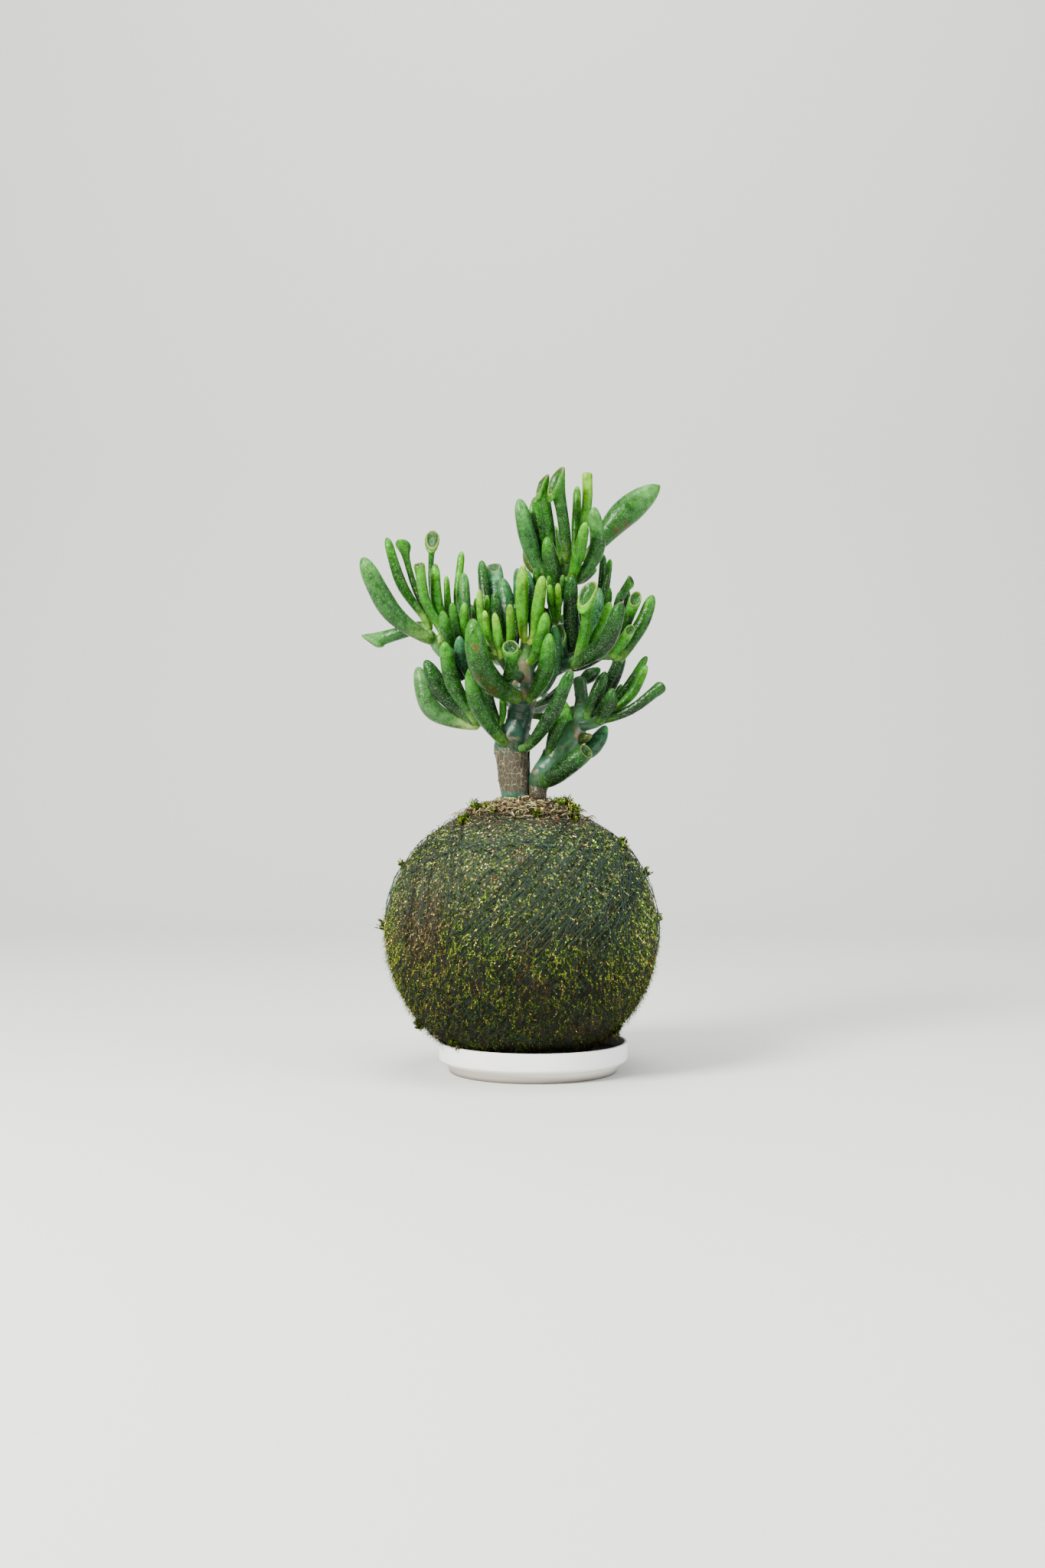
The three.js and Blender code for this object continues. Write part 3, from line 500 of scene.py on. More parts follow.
# A stem is a list of picture point, depth in millimetres and radius in pixels. Greening is the share of
# a stem where it turns young green, and how much. Of a leaf, head is the width of its cup in pixels,
# tilt and drop lean the cup's mouth, face is the side that its front is turned to, and middle says how
# much of its depth it has half way.
shoots = dict(
    main_stem=dict(
        slot="stem_bark", bark=[(978, 1038)], streak=[(690, 888, 972)], greening=(0.7, 0.25),
        scars=[(677, 886, 8, 9), (692, 874, 7, 7), (684, 908, 8, 7), (671, 964, 9, 1.3)],
        stems=[[
            (674, 1105, 0, 15), (674, 1052, 0, 18), (671, 1010, 0, 20.5), (668, 975, 0, 22),
            (678, 940, -1, 16), (682, 915, -2, 18), (684, 893, -3, 14),
        ]],
        leaves=[
            leaf((668, 908), (628, 872), (617, 808), 31, -44, "mid", middle=0.8,
                 scars=[(625, 885, 3), (643, 902, 3.5), (621, 846, 1.5)]),
            leaf((658, 968), (624, 920), (614, 872), 22, -26, "mid"),
            leaf((686, 977), (724, 926), (747, 875), 18, -34, "deep", middle=0.7),
            leaf((690, 958), (690, 985), (691, 1007), 4, 10, "mid"),
            leaf((693, 912), (713, 872), (718, 827), 20, -27, "mid", middle=0.8),
            leaf((706, 906), (728, 860), (724, 816), 13, -17, "blue"),
        ],
    ),
    shoot_leader=dict(
        slot="leaf_young", greening=(0.0, 0.8), scars=[(685, 868, 7, 8), (687, 886, 8, 8)],
        stems=[[(684, 900, -3, 12.5), (687, 862, -4, 11), (688, 838, -5, 8)]],
        leaves=[
            leaf((669, 850), (667, 820), (666, 789), 11, -22, "young"),
            leaf((676, 850), (675, 820), (673, 788), 10, -6, "deep"),
            leaf((685, 836), (682, 785), (683, 738), 16, -15, "young"),
            leaf((684, 830), (678, 775), (676, 742), 14, 6, "blue"),
            leaf((693, 835), (694, 775), (688, 745), 13, -3, "blue"),
            leaf((695, 838), (703, 790), (709, 752), 16, -20, "young"),
            leaf((694, 864), (708, 832), (713, 800), 16, -27, "fresh"),
            leaf((699, 835), (695, 800), (693, 777), 10, 8, "grey"),
        ],
    ),
    shoot_left=dict(
        slot="leaf_mid", greening=(0.1, 0.8),
        stems=[[(678, 908, 2, 12), (640, 893, 6, 10), (605, 872, 4, 9), (575, 848, 2, 8), (560, 828, 2, 7)]],
        leaves=[
            leaf((560, 834), (512, 799), (473, 728), 26, -9, "grey"),
            leaf((555, 818), (525, 826), (482, 838), 17, 14, "grey", head=24, tilt=0.9, face=(0, -0.3, -1)),
            leaf((558, 815), (524, 762), (505, 702), 13, 4, "mid"),
            leaf((562, 815), (541, 765), (526, 710), 10, 13, "mid", head=20, tilt=0.5, face=(0.6, 0.8, 0)),
            leaf((580, 834), (556, 785), (547, 737), 13, -11, "fresh", head=15, tilt=0.2),
            leaf((576, 828), (563, 765), (565, 702), 9, 8, "mid", head=20, tilt=1.3, drop=0.6,
                 face=frontFace),
            leaf((580, 830), (571, 785), (568, 736), 14, -2, "fresh"),
            leaf((590, 832), (585, 790), (583, 752), 9, 11, "fresh"),
            leaf((594, 850), (583, 825), (578, 798), 15, -18, "mid"),
            leaf((602, 848), (595, 815), (590, 787), 12, -8, "mid"),
            leaf((600, 835), (598, 775), (603, 720), 11, 18, "fresh"),
            leaf((609, 838), (607, 790), (606, 748), 15, 6, "grey"),
            leaf((611, 840), (607, 812), (607, 787), 13, -10, "fresh"),
            leaf((616, 885), (602, 858), (600, 831), 16, -16, "blue"),
            leaf((604, 885), (593, 868), (589, 846), 12, -8, "blue"),
        ],
    ),
    shoot_low_left=dict(
        slot="leaf_mid", greening=(0.0, 0.9),
        stems=[[(670, 955, 0, 6.5), (648, 948, 0, 6), (624, 942, 0, 6)]],
        leaves=[
            leaf((623, 942), (592, 892), (580, 838), 20, -18, "mid"),
            leaf((622, 942), (582, 908), (555, 862), 23, -5, "deep"),
            leaf((622, 946), (567, 928), (545, 871), 24, 6, "pale"),
            leaf((650, 944), (640, 918), (632, 885), 13, -3, "deep"),
            leaf((655, 946), (657, 928), (656, 905), 9, -9, "fresh"),
        ],
    ),
    shoot_front_left=dict(
        slot="leaf_young", greening=(0.0, 0.9),
        stems=[[(682, 886, -4, 7), (664, 873, -20, 6), (650, 857, -30, 5)]],
        leaves=[
            leaf((648, 858), (637, 828), (633, 797), 9, -33, "young"),
            leaf((653, 858), (650, 830), (646, 800), 11, -38, "young"),
            leaf((664, 884), (667, 866), (667, 845), 17, -38, "mid", head=23, tilt=0.35, face=frontFace,
                 root=(666, 874)),
        ],
    ),
    shoot_centre_left=dict(
        slot="leaf_mid", greening=(0.0, 0.8),
        stems=[[(682, 884, -2, 8), (664, 862, -6, 7), (648, 842, -6, 6)]],
        leaves=[
            leaf((640, 835), (633, 775), (629, 732), 14, 12, "deep"),
            leaf((652, 838), (650, 780), (645, 738), 21, 18, "blue", tilt=0.9, drop=1, head=19,
                 face=frontFace),
            leaf((664, 835), (662, 790), (656, 755), 20, 4, "blue"),
            leaf((636, 838), (628, 800), (626, 770), 10, -14, "young"),
            leaf((642, 840), (637, 808), (636, 777), 8, -8, "fresh"),
            leaf((656, 845), (650, 805), (646, 773), 15, -15, "deep"),
        ],
    ),
    shoot_top=dict(
        slot="leaf_mid", greening=(0.2, 0.9),
        stems=[[
            (690, 872, 2, 9), (706, 845, 9, 9), (716, 820, 9, 9), (728, 780, 5, 9), (737, 740, 2, 8),
            (741, 724, 2, 6),
        ]],
        leaves=[
            leaf((722, 800), (718, 775), (717, 752), 7, -14, "fresh"),
            leaf((724, 810), (719, 785), (718, 764), 9, -20, "fresh"),
            leaf((727, 812), (729, 785), (729, 762), 9, -20, "young"),
            leaf((709, 747), (689, 700), (678, 651), 21, -2, "grey"),
            leaf((706, 740), (698, 690), (696, 655), 12, 9, "grey"),
            leaf((718, 740), (706, 690), (700, 650), 13, 5, "mid", head=15, tilt=0.7, face=leftFront),
            leaf((727, 735), (717, 680), (707, 629), 14, -5, "mid", head=23, tilt=0.8, drop=0.8,
                 face=leftFace),
            leaf((741, 730), (736, 680), (725, 624), 17, -13, "mid", head=30, tilt=0.9, drop=0.7,
                 face=(-0.9, -0.42, 0)),
            leaf((748, 730), (753, 680), (754, 635), 12, 12, "fresh"),
            leaf((750, 730), (766, 665), (767, 618), 13, 3, "young", head=14, tilt=0),
            leaf((752, 758), (779, 718), (776, 662), 19, -14, "grey"),
            leaf((744, 758), (757, 718), (765, 682), 15, -22, "fresh"),
            leaf((729, 782), (720, 738), (714, 701), 20, -9, "mid"),
            leaf((762, 728), (815, 670), (862, 634), 32, 7, "grey", point=True,
                 scars=[(806, 692, 3), (818, 687, 2.5)]),
            leaf((712, 752), (692, 733), (692, 700), 15, 17, "olive"),
            leaf((707, 795), (703, 765), (701, 735), 13, 0, "mid"),
            leaf((744, 848), (745, 795), (747, 750), 20, -10, "deep", root=(722, 842)),
            leaf((736, 780), (735, 765), (735, 751), 8, -10, "grey"),
            leaf((737, 862), (734, 845), (731, 828), 15, -3, "blue", head=17, tilt=1.4, face=frontFace),
        ],
    ),
    shoot_right=dict(
        slot="leaf_dark", greening=(0.2, 0.6),
        stems=[[
            (694, 890, 0, 9), (728, 874, 0, 8), (752, 864, -9, 8), (777, 856, -6, 7), (803, 856, -2, 6),
        ]],
        leaves=[
            leaf((751, 868), (792, 836), (812, 786), 22, -40, "deep", middle=0.75),
            leaf((755, 862), (766, 815), (767, 772), 17, -28, "fresh", head=28, tilt=0.9, drop=0.7,
                 face=leftFront),
            leaf((772, 856), (781, 806), (783, 768), 13, -9, "blue"),
            leaf((762, 860), (785, 820), (797, 786), 14, -20, "fresh"),
            leaf((806, 862), (838, 815), (853, 777), 18, 2, "mid"),
            leaf((797, 858), (812, 840), (823, 823), 14, -9, "fresh", head=14, tilt=1, face=frontFace),
        ],
    ),
    shoot_far_right=dict(
        slot="leaf_mid", greening=(0.2, 0.6),
        stems=[[(718, 822, 10, 8), (745, 820, 20, 7), (775, 816, 20, 7), (798, 812, 12, 6)]],
        leaves=[
            leaf((808, 832), (822, 803), (830, 782), 15, -3, "mid", head=17, tilt=1, face=frontFace),
            leaf((803, 800), (813, 775), (825, 758), 11, 14, "mid", head=14, tilt=0.8, face=rightFront),
            leaf((804, 800), (808, 786), (810, 772), 10, 2, "deep"),
            leaf((809, 808), (818, 788), (820, 768), 8, 22, "deep"),
            leaf((790, 800), (794, 782), (796, 767), 10, 7, "mid"),
            leaf((788, 800), (792, 765), (797, 730), 9, 17, "mid"),
            leaf((780, 800), (786, 765), (788, 724), 10, 25, "deep"),
        ],
    ),
    branch_lower_right=dict(
        slot="leaf_dark", greening=(0.1, 0.32), bark=[(1026, 1066)],
        scars=[(699, 1008, 4, 2.5), (754, 958, 4, 8)],
        stems=[
            [
                (700, 1098, 3, 8), (702, 1048, 0, 10.5), (704, 1022, -2, 14.5), (725, 990, -3, 18),
                (745, 962, -4, 16), (757, 942, -3, 12), (760, 915, 2, 9), (757, 888, 5, 8.5),
            ],
            [(752, 948, -4, 10), (770, 945, -7, 8), (790, 938, -6, 7)],
        ],
        leaves=[
            leaf((712, 1020), (738, 1004), (766, 981), 25, -20, "deep", head=23, tilt=0.3, face=frontFace,
                 middle=0.75),
            leaf((765, 982), (780, 968), (792, 948), 20, 9, "blue"),
            leaf((757, 966), (765, 963), (773, 960), 12, -12, "olive"),
            leaf((718, 988), (723, 962), (742, 925), 16, -14, "mid"),
            leaf((787, 941), (827, 925), (864, 897), 14, -16, "deep", head=17, tilt=0.7, face=(0.8, 0, 0.6)),
            leaf((793, 936), (824, 908), (845, 869), 12, -7, "fresh"),
            leaf((794, 930), (823, 892), (845, 857), 11, 4, "mid"),
            leaf((790, 930), (803, 911), (812, 894), 8, 11, "mid"),
            leaf((783, 941), (795, 920), (800, 899), 19, -18, "deep"),
            leaf((768, 938), (780, 905), (791, 877), 17, -9, "deep"),
            leaf((776, 935), (803, 880), (814, 848), 18, 14, "deep", middle=0.8),
            leaf((747, 944), (741, 932), (737, 915), 11, -6, "fresh"),
            leaf((757, 893), (768, 884), (784, 873), 17, 12, "deep"),
        ],
    ),
    shoot_back_left=dict(
        slot="leaf_mid", stems=[[(684, 886, 4, 8), (662, 864, 18, 7), (640, 842, 25, 5)]],
        whorl=dict(count=8, heading=128, spread=120, low=5, high=72, length=40, width=7.4,
                   tones=("mid", "blue", "fresh", "deep", "grey")),
    ),
    shoot_back_right=dict(
        slot="leaf_dark", stems=[[(692, 888, 5, 8), (724, 868, 20, 7), (752, 846, 30, 5)]],
        whorl=dict(count=8, heading=52, spread=110, low=8, high=74, length=38, width=7,
                   tones=("deep", "mid", "blue", "deep", "fresh")),
    ),
    shoot_back_low=dict(
        slot="leaf_dark", stems=[[(680, 945, 3, 7), (691, 930, 16, 6), (696, 914, 23, 5)]],
        whorl=dict(count=6, heading=88, spread=150, low=2, high=48, length=34, width=7,
                   tones=("deep", "mid", "grey")),
    ),
    shoot_back_top=dict(
        slot="leaf_mid", stems=[[(732, 772, 8, 7), (736, 754, 20, 6), (738, 736, 25, 5)]],
        whorl=dict(count=6, heading=104, spread=110, low=10, high=70, length=34, width=6.5,
                   tones=("mid", "fresh", "blue", "young")),
    ),
)


# Succulent leaf, grown: a waxy cuticle over wet flesh, which gives soft light through the green, small
# sharp glints, pale dots of dried salts painted paler as glints, and faint scuffs.
def leafMaterial():
    material, tree, shader, place = newMaterial(
        "waxy_jade_leaf", IOR=1.45, Specular_IOR_Level=0.14, Subsurface_Weight=0.06,
        Subsurface_Radius=(0.5, 1.0, 0.25), Subsurface_Scale=0.0012, Coat_Roughness=0.16)
    tint = addNode(tree, "Attribute", attribute_name="tint")["Color"]
    marks = addNode(tree, "SeparateXYZ", [addNode(tree, "Attribute", attribute_name="marks")["Vector"]])
    # blotches of 3 to 5 mm, darker and lighter green
    blotch = addNode(tree, "TexNoise", dict(Vector=place, Scale=260, Detail=4, Roughness=0.6))["Fac"]
    blotch = addNode(tree, "MapRange", (blotch, 0.3, 0.7, 0.42, 1.55))
    colour = addNode(tree, "VectorMath", {0: tint, "Scale": blotch["Result"]}, operation="SCALE")["Vector"]
    # pale dots 0.4 mm wide about 1.2 mm apart, gathered in patches, each a paler shade of its leaf: dried
    # salts, painted paler still as glints
    dots = addNode(tree, "TexVoronoi", dict(Vector=place, Scale=820, Randomness=1))["Distance"]
    dots = addNode(tree, "MapRange", (dots, 0.08, 0.2, 1.0, 0.0))
    patch = addNode(tree, "TexNoise", dict(Vector=place, Scale=170, Detail=2))["Fac"]
    patch = addNode(tree, "MapRange", (patch, 0.3, 0.68, 0.1, 1.0))
    speck = addNode(tree, "Math", (dots["Result"], patch["Result"]), operation="MULTIPLY")["Value"]
    saltAndGlint = addNode(tree, "VectorMath", (tint, (1.5, 1.5, 1.5), (0.15, 0.21, 0.13)),
                   operation="MULTIPLY_ADD")["Vector"]
    colour = addNode(tree, "Mix", {0: speck, 6: colour, 7: saltAndGlint}, data_type="RGBA")[2]
    # scuffs: thin pale lines where a stretched noise crosses its middle
    scuff = addNode(tree, "TexNoise", dict(Vector=place, Scale=330, Detail=3, Distortion=2.2))["Fac"]
    scuff = addNode(tree, "Math", (scuff, 0.5, 0.006), operation="COMPARE")["Value"]
    scuff = addNode(tree, "Math", (scuff, 0.16), operation="MULTIPLY")["Value"]
    # pale lip of a cup, brown scars, and the reddish dot at the very tip
    lip = addNode(tree, "Math", (marks["Y"], 0.7), operation="MULTIPLY")["Value"]
    crust = addNode(tree, "Math", (marks["Z"], blotch["Result"]),
                    operation="MULTIPLY", use_clamp=True)["Value"]
    dot = addNode(tree, "MapRange", (marks["X"], 0.988, 1.0, 0.0, 0.55))
    inside = addNode(tree, "Math", (marks["Y"], 0.01), operation="LESS_THAN")["Value"]
    dot = addNode(tree, "Math", (dot["Result"], inside), operation="MULTIPLY")["Value"]
    for share, paint in ((scuff, "scuff"), (lip, "lip"), (crust, "crust"), (dot, "tipDot")):
        colour = addNode(tree, "Mix", {0: share, 6: colour, 7: rgba(leafLook[paint])}, data_type="RGBA")[2]
    gloss = addNode(tree, "MapRange", (patch["Result"], 0.0, 0.6, 0.13, 0.22))
    # skin cells of 0.1 mm, drawn as 1.4 mm pimples so that they show
    cells = addNode(tree, "TexNoise", dict(Vector=place, Scale=680, Detail=2))["Fac"]
    relief = addNode(tree, "Math", (dots["Result"], 0.6, cells), operation="MULTIPLY_ADD")["Value"]
    bump = addNode(tree, "Bump", dict(Height=relief, Strength=0.6, Distance=0.0006))["Normal"]
    # beads of wax on the pimples, which give the small white glints
    wax = addNode(tree, "MapRange", (dots["Result"], 0.0, 1.0, 0.02, 1.0))["Result"]
    wire(shader, Base_Color=colour, Roughness=gloss["Result"], Normal=bump, Coat_Weight=wax, Coat_Normal=bump)
    return material


# Jade plant stem, grown: smooth green skin that turns to thin corky bark, whose cream cracks make a
# net of cells about 2 mm wide and 4 mm tall.
def stemMaterial():
    material, tree, shader, place = newMaterial(
        "green_stem_with_corky_bark", IOR=1.45, Specular_IOR_Level=0.3, Subsurface_Weight=0.05,
        Subsurface_Radius=(0.5, 0.9, 0.4), Subsurface_Scale=0.001)
    thinPlate, thickPlate = (rgba(colour) for colour in stemLook["plates"])
    oldScar, newScar = (rgba(colour) for colour in stemLook["scar"])
    marks = addNode(tree, "SeparateXYZ", [addNode(tree, "Attribute", attribute_name="marks")["Vector"]])
    # blotches of 2 mm
    blotch, skin = mottled(tree, place, dict(Scale=420, Detail=5, Roughness=0.65), 0.3, 0.7, 0.6, 1.35)
    # first corky flecks on the green skin, 2 to 4 mm
    fleck = addNode(tree, "TexNoise", dict(Vector=place, Scale=300, Detail=6, Roughness=0.7))["Fac"]
    fleck = addNode(tree, "MapRange", (fleck, 0.52, 0.7, 0.0, 0.6))["Result"]
    skin = addNode(tree, "Mix", {0: fleck, 6: skin, 7: rgba(stemLook["fleck"])}, data_type="RGBA")[2]
    # net of cracks: cells stretched upright, their edges wandering with a slow noise
    wander = addNode(tree, "TexNoise", dict(Vector=place, Scale=500, Detail=2))["Color"]
    bent = addNode(tree, "VectorMath", (wander, (0.0014, 0.0014, 0.0014), place),
                   operation="MULTIPLY_ADD")["Vector"]
    tall = addNode(tree, "Mapping", dict(Vector=bent, Scale=(1.0, 1.0, 0.5)))["Vector"]
    net = addNode(tree, "TexVoronoi", dict(Vector=tall, Scale=440), feature="DISTANCE_TO_EDGE")["Distance"]
    crack = addNode(tree, "MapRange", (net, 0.008, 0.034, 0.75, 0.0))["Result"]
    plate = addNode(tree, "Mix", {0: blotch, 6: thinPlate, 7: thickPlate}, data_type="RGBA")[2]
    colour = addNode(tree, "Mix", {0: marks["X"], 6: skin, 7: plate}, data_type="RGBA")[2]
    # the cracks run on a little into the green skin
    torn = addNode(tree, "Math", (marks["X"], 3.0), operation="MULTIPLY", use_clamp=True)["Value"]
    torn = addNode(tree, "Math", (torn, crack), operation="MULTIPLY")["Value"]
    colour = addNode(tree, "Mix", {0: torn, 6: colour, 7: rgba(stemLook["crack"])}, data_type="RGBA")[2]
    scar = addNode(tree, "Mix", {0: blotch, 6: oldScar, 7: newScar}, data_type="RGBA")[2]
    colour = addNode(tree, "Mix", {0: marks["Z"], 6: colour, 7: scar}, data_type="RGBA")[2]
    dull = addNode(tree, "Math", (marks["X"], 0.5, 0.28), operation="MULTIPLY_ADD", use_clamp=True)["Value"]
    height = addNode(tree, "Math", (blotch, 0.7, torn), operation="MULTIPLY_ADD")["Value"]
    bump = addNode(tree, "Bump", dict(Height=height, Strength=0.6, Distance=0.0004))["Normal"]
    wire(shader, Base_Color=colour, Roughness=dull, Normal=bump)
    return material


crownMaterials = [leafMaterial(), stemMaterial()]
rng = np.random.default_rng(11)
for name, shoot in shoots.items():
    parts = [stemTube(stem, shoot) for stem in shoot["stems"]]
    parts += [pictureLeaf(shoot["stems"], spec, rng) for spec in shoot.get("leaves", ())]
    if "whorl" in shoot:
        whorl = shoot["whorl"]
        parts += [whorlLeaf(shoot["stems"][0], whorl, number, rng) for number in range(whorl["count"])]
    addPiece("crown_" + name, gathered(parts), crownMaterials, name)
print("crown done")


ball = dict(
    centre=(-6.0, 0.0, 73.3), radius=71.6, top=66.5, bottom=70.5, rest=3.8, lump=0.7,
    mouth=20.0, lip=71.5,         # the mouth's radius, and its distance from the ball's centre
    thickness=6.0, pole=0.02,     # of the sheet, and the angle left open at its foot in radians
    around=220, upward=110, inward=26,    # points round the skin, up its outside and down its inside
    # bed: near black, the moss's own dark stems painted darker as the shade deep between the shoots
    bed="#0d1006", soil="#180f08", mat="#2c3826",
)
ballCentre = np.array(ball["centre"])


# Noise over the ball, its cells given in millimetres on a ball of 70 mm.
def skinNoise(direction, cell, seed):
    return cloudNoise(direction * 70, cell, seed)


# Skin of the ball in a direction: an upright ellipsoid whose radius swells by two crossed sine waves
# times the lump, flat where it rests.
def ballSkin(direction, offset):
    x, y, z = np.moveaxis(direction, -1, 0)
    lump = (np.sin(3 * x + 2.1 * y + 1) * np.cos(2.7 * z - 1.4 * y)
            + 0.6 * np.sin(6.3 * y + 4.4 * x) * np.sin(5.1 * z + 0.7))
    level = offset + ball["lump"] * lump * np.minimum(1, 2.2 * (1 + z))
    upright = np.where(z > 0, ball["top"], ball["bottom"])
    reach = np.stack([ball["radius"] + level, ball["radius"] + level, upright + level], -1)
    point = direction * reach + ballCentre
    point[..., 2] = np.maximum(point[..., 2], ball["rest"] - np.minimum(offset, 0.6))
    return point


# How tightly the thread holds the moss down, 0 to 1: from nothing low down to all over the upper half,
# further down at the front right than at the front left, a little more at both sides, and patchy.
def tightness(direction):
    x, y, z = np.moveaxis(direction, -1, 0)
    hold = smooth((z + 0.32 + 0.2 * x * (y < 0)) / 0.6)
    hold = hold + 0.15 * smooth((np.abs(x) - 0.75) / 0.2) * (z > -0.5)
    return np.clip(hold + 0.35 * skinNoise(direction, 13.0, 21), 0, 1)


# How brown the moss is, 0 to 1: a dead patch at the front left, exp(-distance^2) of its middle, a dry
# ring round the mouth, and small patches all over.
def dryness(direction):
    patch = np.exp(-(((direction - (-0.70, -0.66, 0.18)) / (0.2, 0.34, 0.34)) ** 2).sum(-1))
    crown = smooth((direction[..., 2] - 0.78) / 0.14)
    small = smooth(skinNoise(direction, 11.0, 4) * 2.2 - 0.9)
    return np.clip(1.1 * patch + 0.9 * crown + 0.9 * small, 0, 1)


# The moss sheet as a skin: up its outside from the foot to the mouth, over the lip and down its
# inside, its outside roughened by two sizes of noise.
def mossSheet():
    turn = angles(ball["around"])
    foot, within = np.pi - ball["pole"], ball["lip"] - ball["thickness"]
    outer = np.linspace(foot, np.arcsin(ball["mouth"] / ball["lip"]), ball["upward"])
    inner = np.linspace(np.arcsin(ball["mouth"] / within), foot, ball["inward"])
    polar = np.concatenate([outer, inner])[:, None]
    depth = np.concatenate([np.zeros(len(outer)), np.full(len(inner), -ball["thickness"])])[:, None]
    direction = np.stack([np.sin(polar) * np.cos(turn), np.sin(polar) * np.sin(turn),
                          np.cos(polar) * np.ones_like(turn)], -1)
    hold = tightness(direction)
    rough = 0.55 * skinNoise(direction, 6.0, 1) + 0.4 * skinNoise(direction, 2.2, 2)
    sunk = np.where(depth < -1, 0, rough * (0.9 - 0.6 * hold) - 0.8 - 0.2 * hold)
    rings = ballSkin(direction, depth + sunk)
    dry = dryness(direction)[..., None]
    tint = between(linear(ball["bed"]), linear(ball["soil"]), dry)
    tint = between(tint, linear(ball["mat"]), 0.8 * hold[..., None])
    return tube(rings, tint, np.zeros(rings.shape))


# Moss sheet, living: dark stems and soil crumbs low between the shoots, painted darker still as the shade
# deep between them.
def mossBedMaterial():
    material, tree, shader, place = newMaterial("living_sheet_moss_bed", Roughness=0.95, IOR=1.4)
    # crumbs of 0.8 mm
    crumb, colour = mottled(tree, place, dict(Scale=1200, Detail=3, Roughness=0.7), 0.3, 0.72, 0.35, 1.9)
    bump = addNode(tree, "Bump", dict(Height=crumb, Strength=0.9, Distance=0.0008))["Normal"]
    wire(shader, Base_Color=colour, Normal=bump)
    return material


mossLook = dict(
    shoots=33000, pairs=4,        # moss shoots over the whole ball, and pairs of leaves on each
    bands=(-0.97, -0.33, 0.31, 0.97), seed=40,    # heights between the bands, as shares of the radius
    length=(1.5, 3.6),            # shoot length in millimetres, held down and free
    leafLength=0.8, leafWidth=0.39,    # larger than real moss leaves, so that they show
    dryShare=0.07, rustShare=0.008, pressedShare=0.5,
    fresh=("#5a7c1a", "#86a22a", "#426618", "#b4a860"), olive=("#36440e", "#475216", "#2a360a", "#5a5a28"),
    shaded=("#12190a", "#0e1408", "#1a200c"), dry=("#483a2a", "#64543e", "#32281c", "#544432", "#827256"),
    rust=("#8c3a12", "#742812"), pressed=("#566c3c", "#748552", "#405436", "#9aa26a"),
)


# Feathery moss shoots. Along each, at share s: root + heading * length * s + side * bend * s^2
# + normal * lift * s^1.5. Its leaves stand off left and right in turn and are smaller towards its end,
# each a kite of two triangles folded along its midrib. Their brightness varies by exp(normal(-0.42, 0.85)).
def mossShoots(roots, normals, headings, lengths, lifts, tints, rng, look):
    count, leaves = len(roots), 2 * look["pairs"]
    side = unit(np.cross(normals, headings))
    share = (np.arange(leaves) + 1) / leaves
    bend = rng.uniform(-0.25, 0.25, (count, 1, 1)) * lengths[:, None, None]
    s = share[None, :, None]
    stalk = (roots[:, None] + headings[:, None] * lengths[:, None, None] * s + side[:, None] * bend * s**2
             + normals[:, None] * lifts[:, None, None] * s**1.5)
    way = np.where(np.arange(leaves) % 2, 1.0, -1.0)[None, :, None] * (1 - 0.75 * (s > 0.95))
    spread = rng.uniform(0.5, 1.1, (count, leaves, 1))
    stand = np.clip(4 * lifts / lengths, 0.3, 1)
    point = unit(headings[:, None] + side[:, None] * way * spread
                 + normals[:, None] * rng.uniform(-0.1, 0.75, (count, leaves, 1)) * stand[:, None, None])
    size = look["leafLength"] * (1.15 - 0.45 * s) * rng.uniform(0.75, 1.25, (count, leaves, 1))
    flat = unit(np.cross(point, normals[:, None] + 0.7 * rng.standard_normal((count, leaves, 3))))
    crease = np.cross(flat, point)
    half = 0.5 * look["leafWidth"] * size / look["leafLength"]
    middle = stalk + point * size * 0.42 + crease * half * 0.45
    verts = np.stack([stalk, middle - flat * half, stalk + point * size, middle + flat * half], 2)
    first = 4 * np.arange(count * leaves)[:, None]
    tris = np.concatenate([first + (0, 1, 2), first + (0, 2, 3)])
    glow = (0.7 + 0.5 * s) * np.exp(rng.normal(-0.42, 0.85, (count, leaves, 1)))
    tint = np.broadcast_to((tints[:, None] * glow)[:, :, None], verts.shape)
    return dict(verts=verts.reshape(-1, 3), tris=tris, tint=tint.reshape(-1, 3), slot=0, rounded=False)


# Moss leaves, living and dry: thin blades one cell thick that let light through and have a dull sheen.
def mossLeafMaterial():
    material, tree, shader, place = newMaterial(
        "living_feather_moss_leaves", Roughness=0.6, IOR=1.42, Specular_IOR_Level=0.12)
    # change of colour over 2 mm, from shoot to shoot
    colour = mottled(tree, place, dict(Scale=500, Detail=2), 0.3, 0.7, 0.7, 1.3)[1]
    wire(shader, Base_Color=colour)
    return material


# Even directions over a ball: (r cos(n g), r sin(n g), z) with z spread evenly from low to high,
# r = sqrt(1 - z^2) and g the golden angle, then shaken.
def spreadDirections(count, rng, low=-1.0, high=1.0, shake=0.012):
    number = np.arange(count)
    z = low + (high - low) * (number + 0.5) / count
    around = np.sqrt(1 - z**2)
    flat = np.stack([around * np.cos(number * goldenAngle), around * np.sin(number * goldenAngle), z], 1)
    return unit(flat + shake * rng.standard_normal(flat.shape))


# A colour of the list for each of so many shoots or strips, all equally likely.
def pick(colours, count, rng):
    table = np.array([linear(colour) for colour in colours])
    return table[rng.integers(0, len(table), count)]
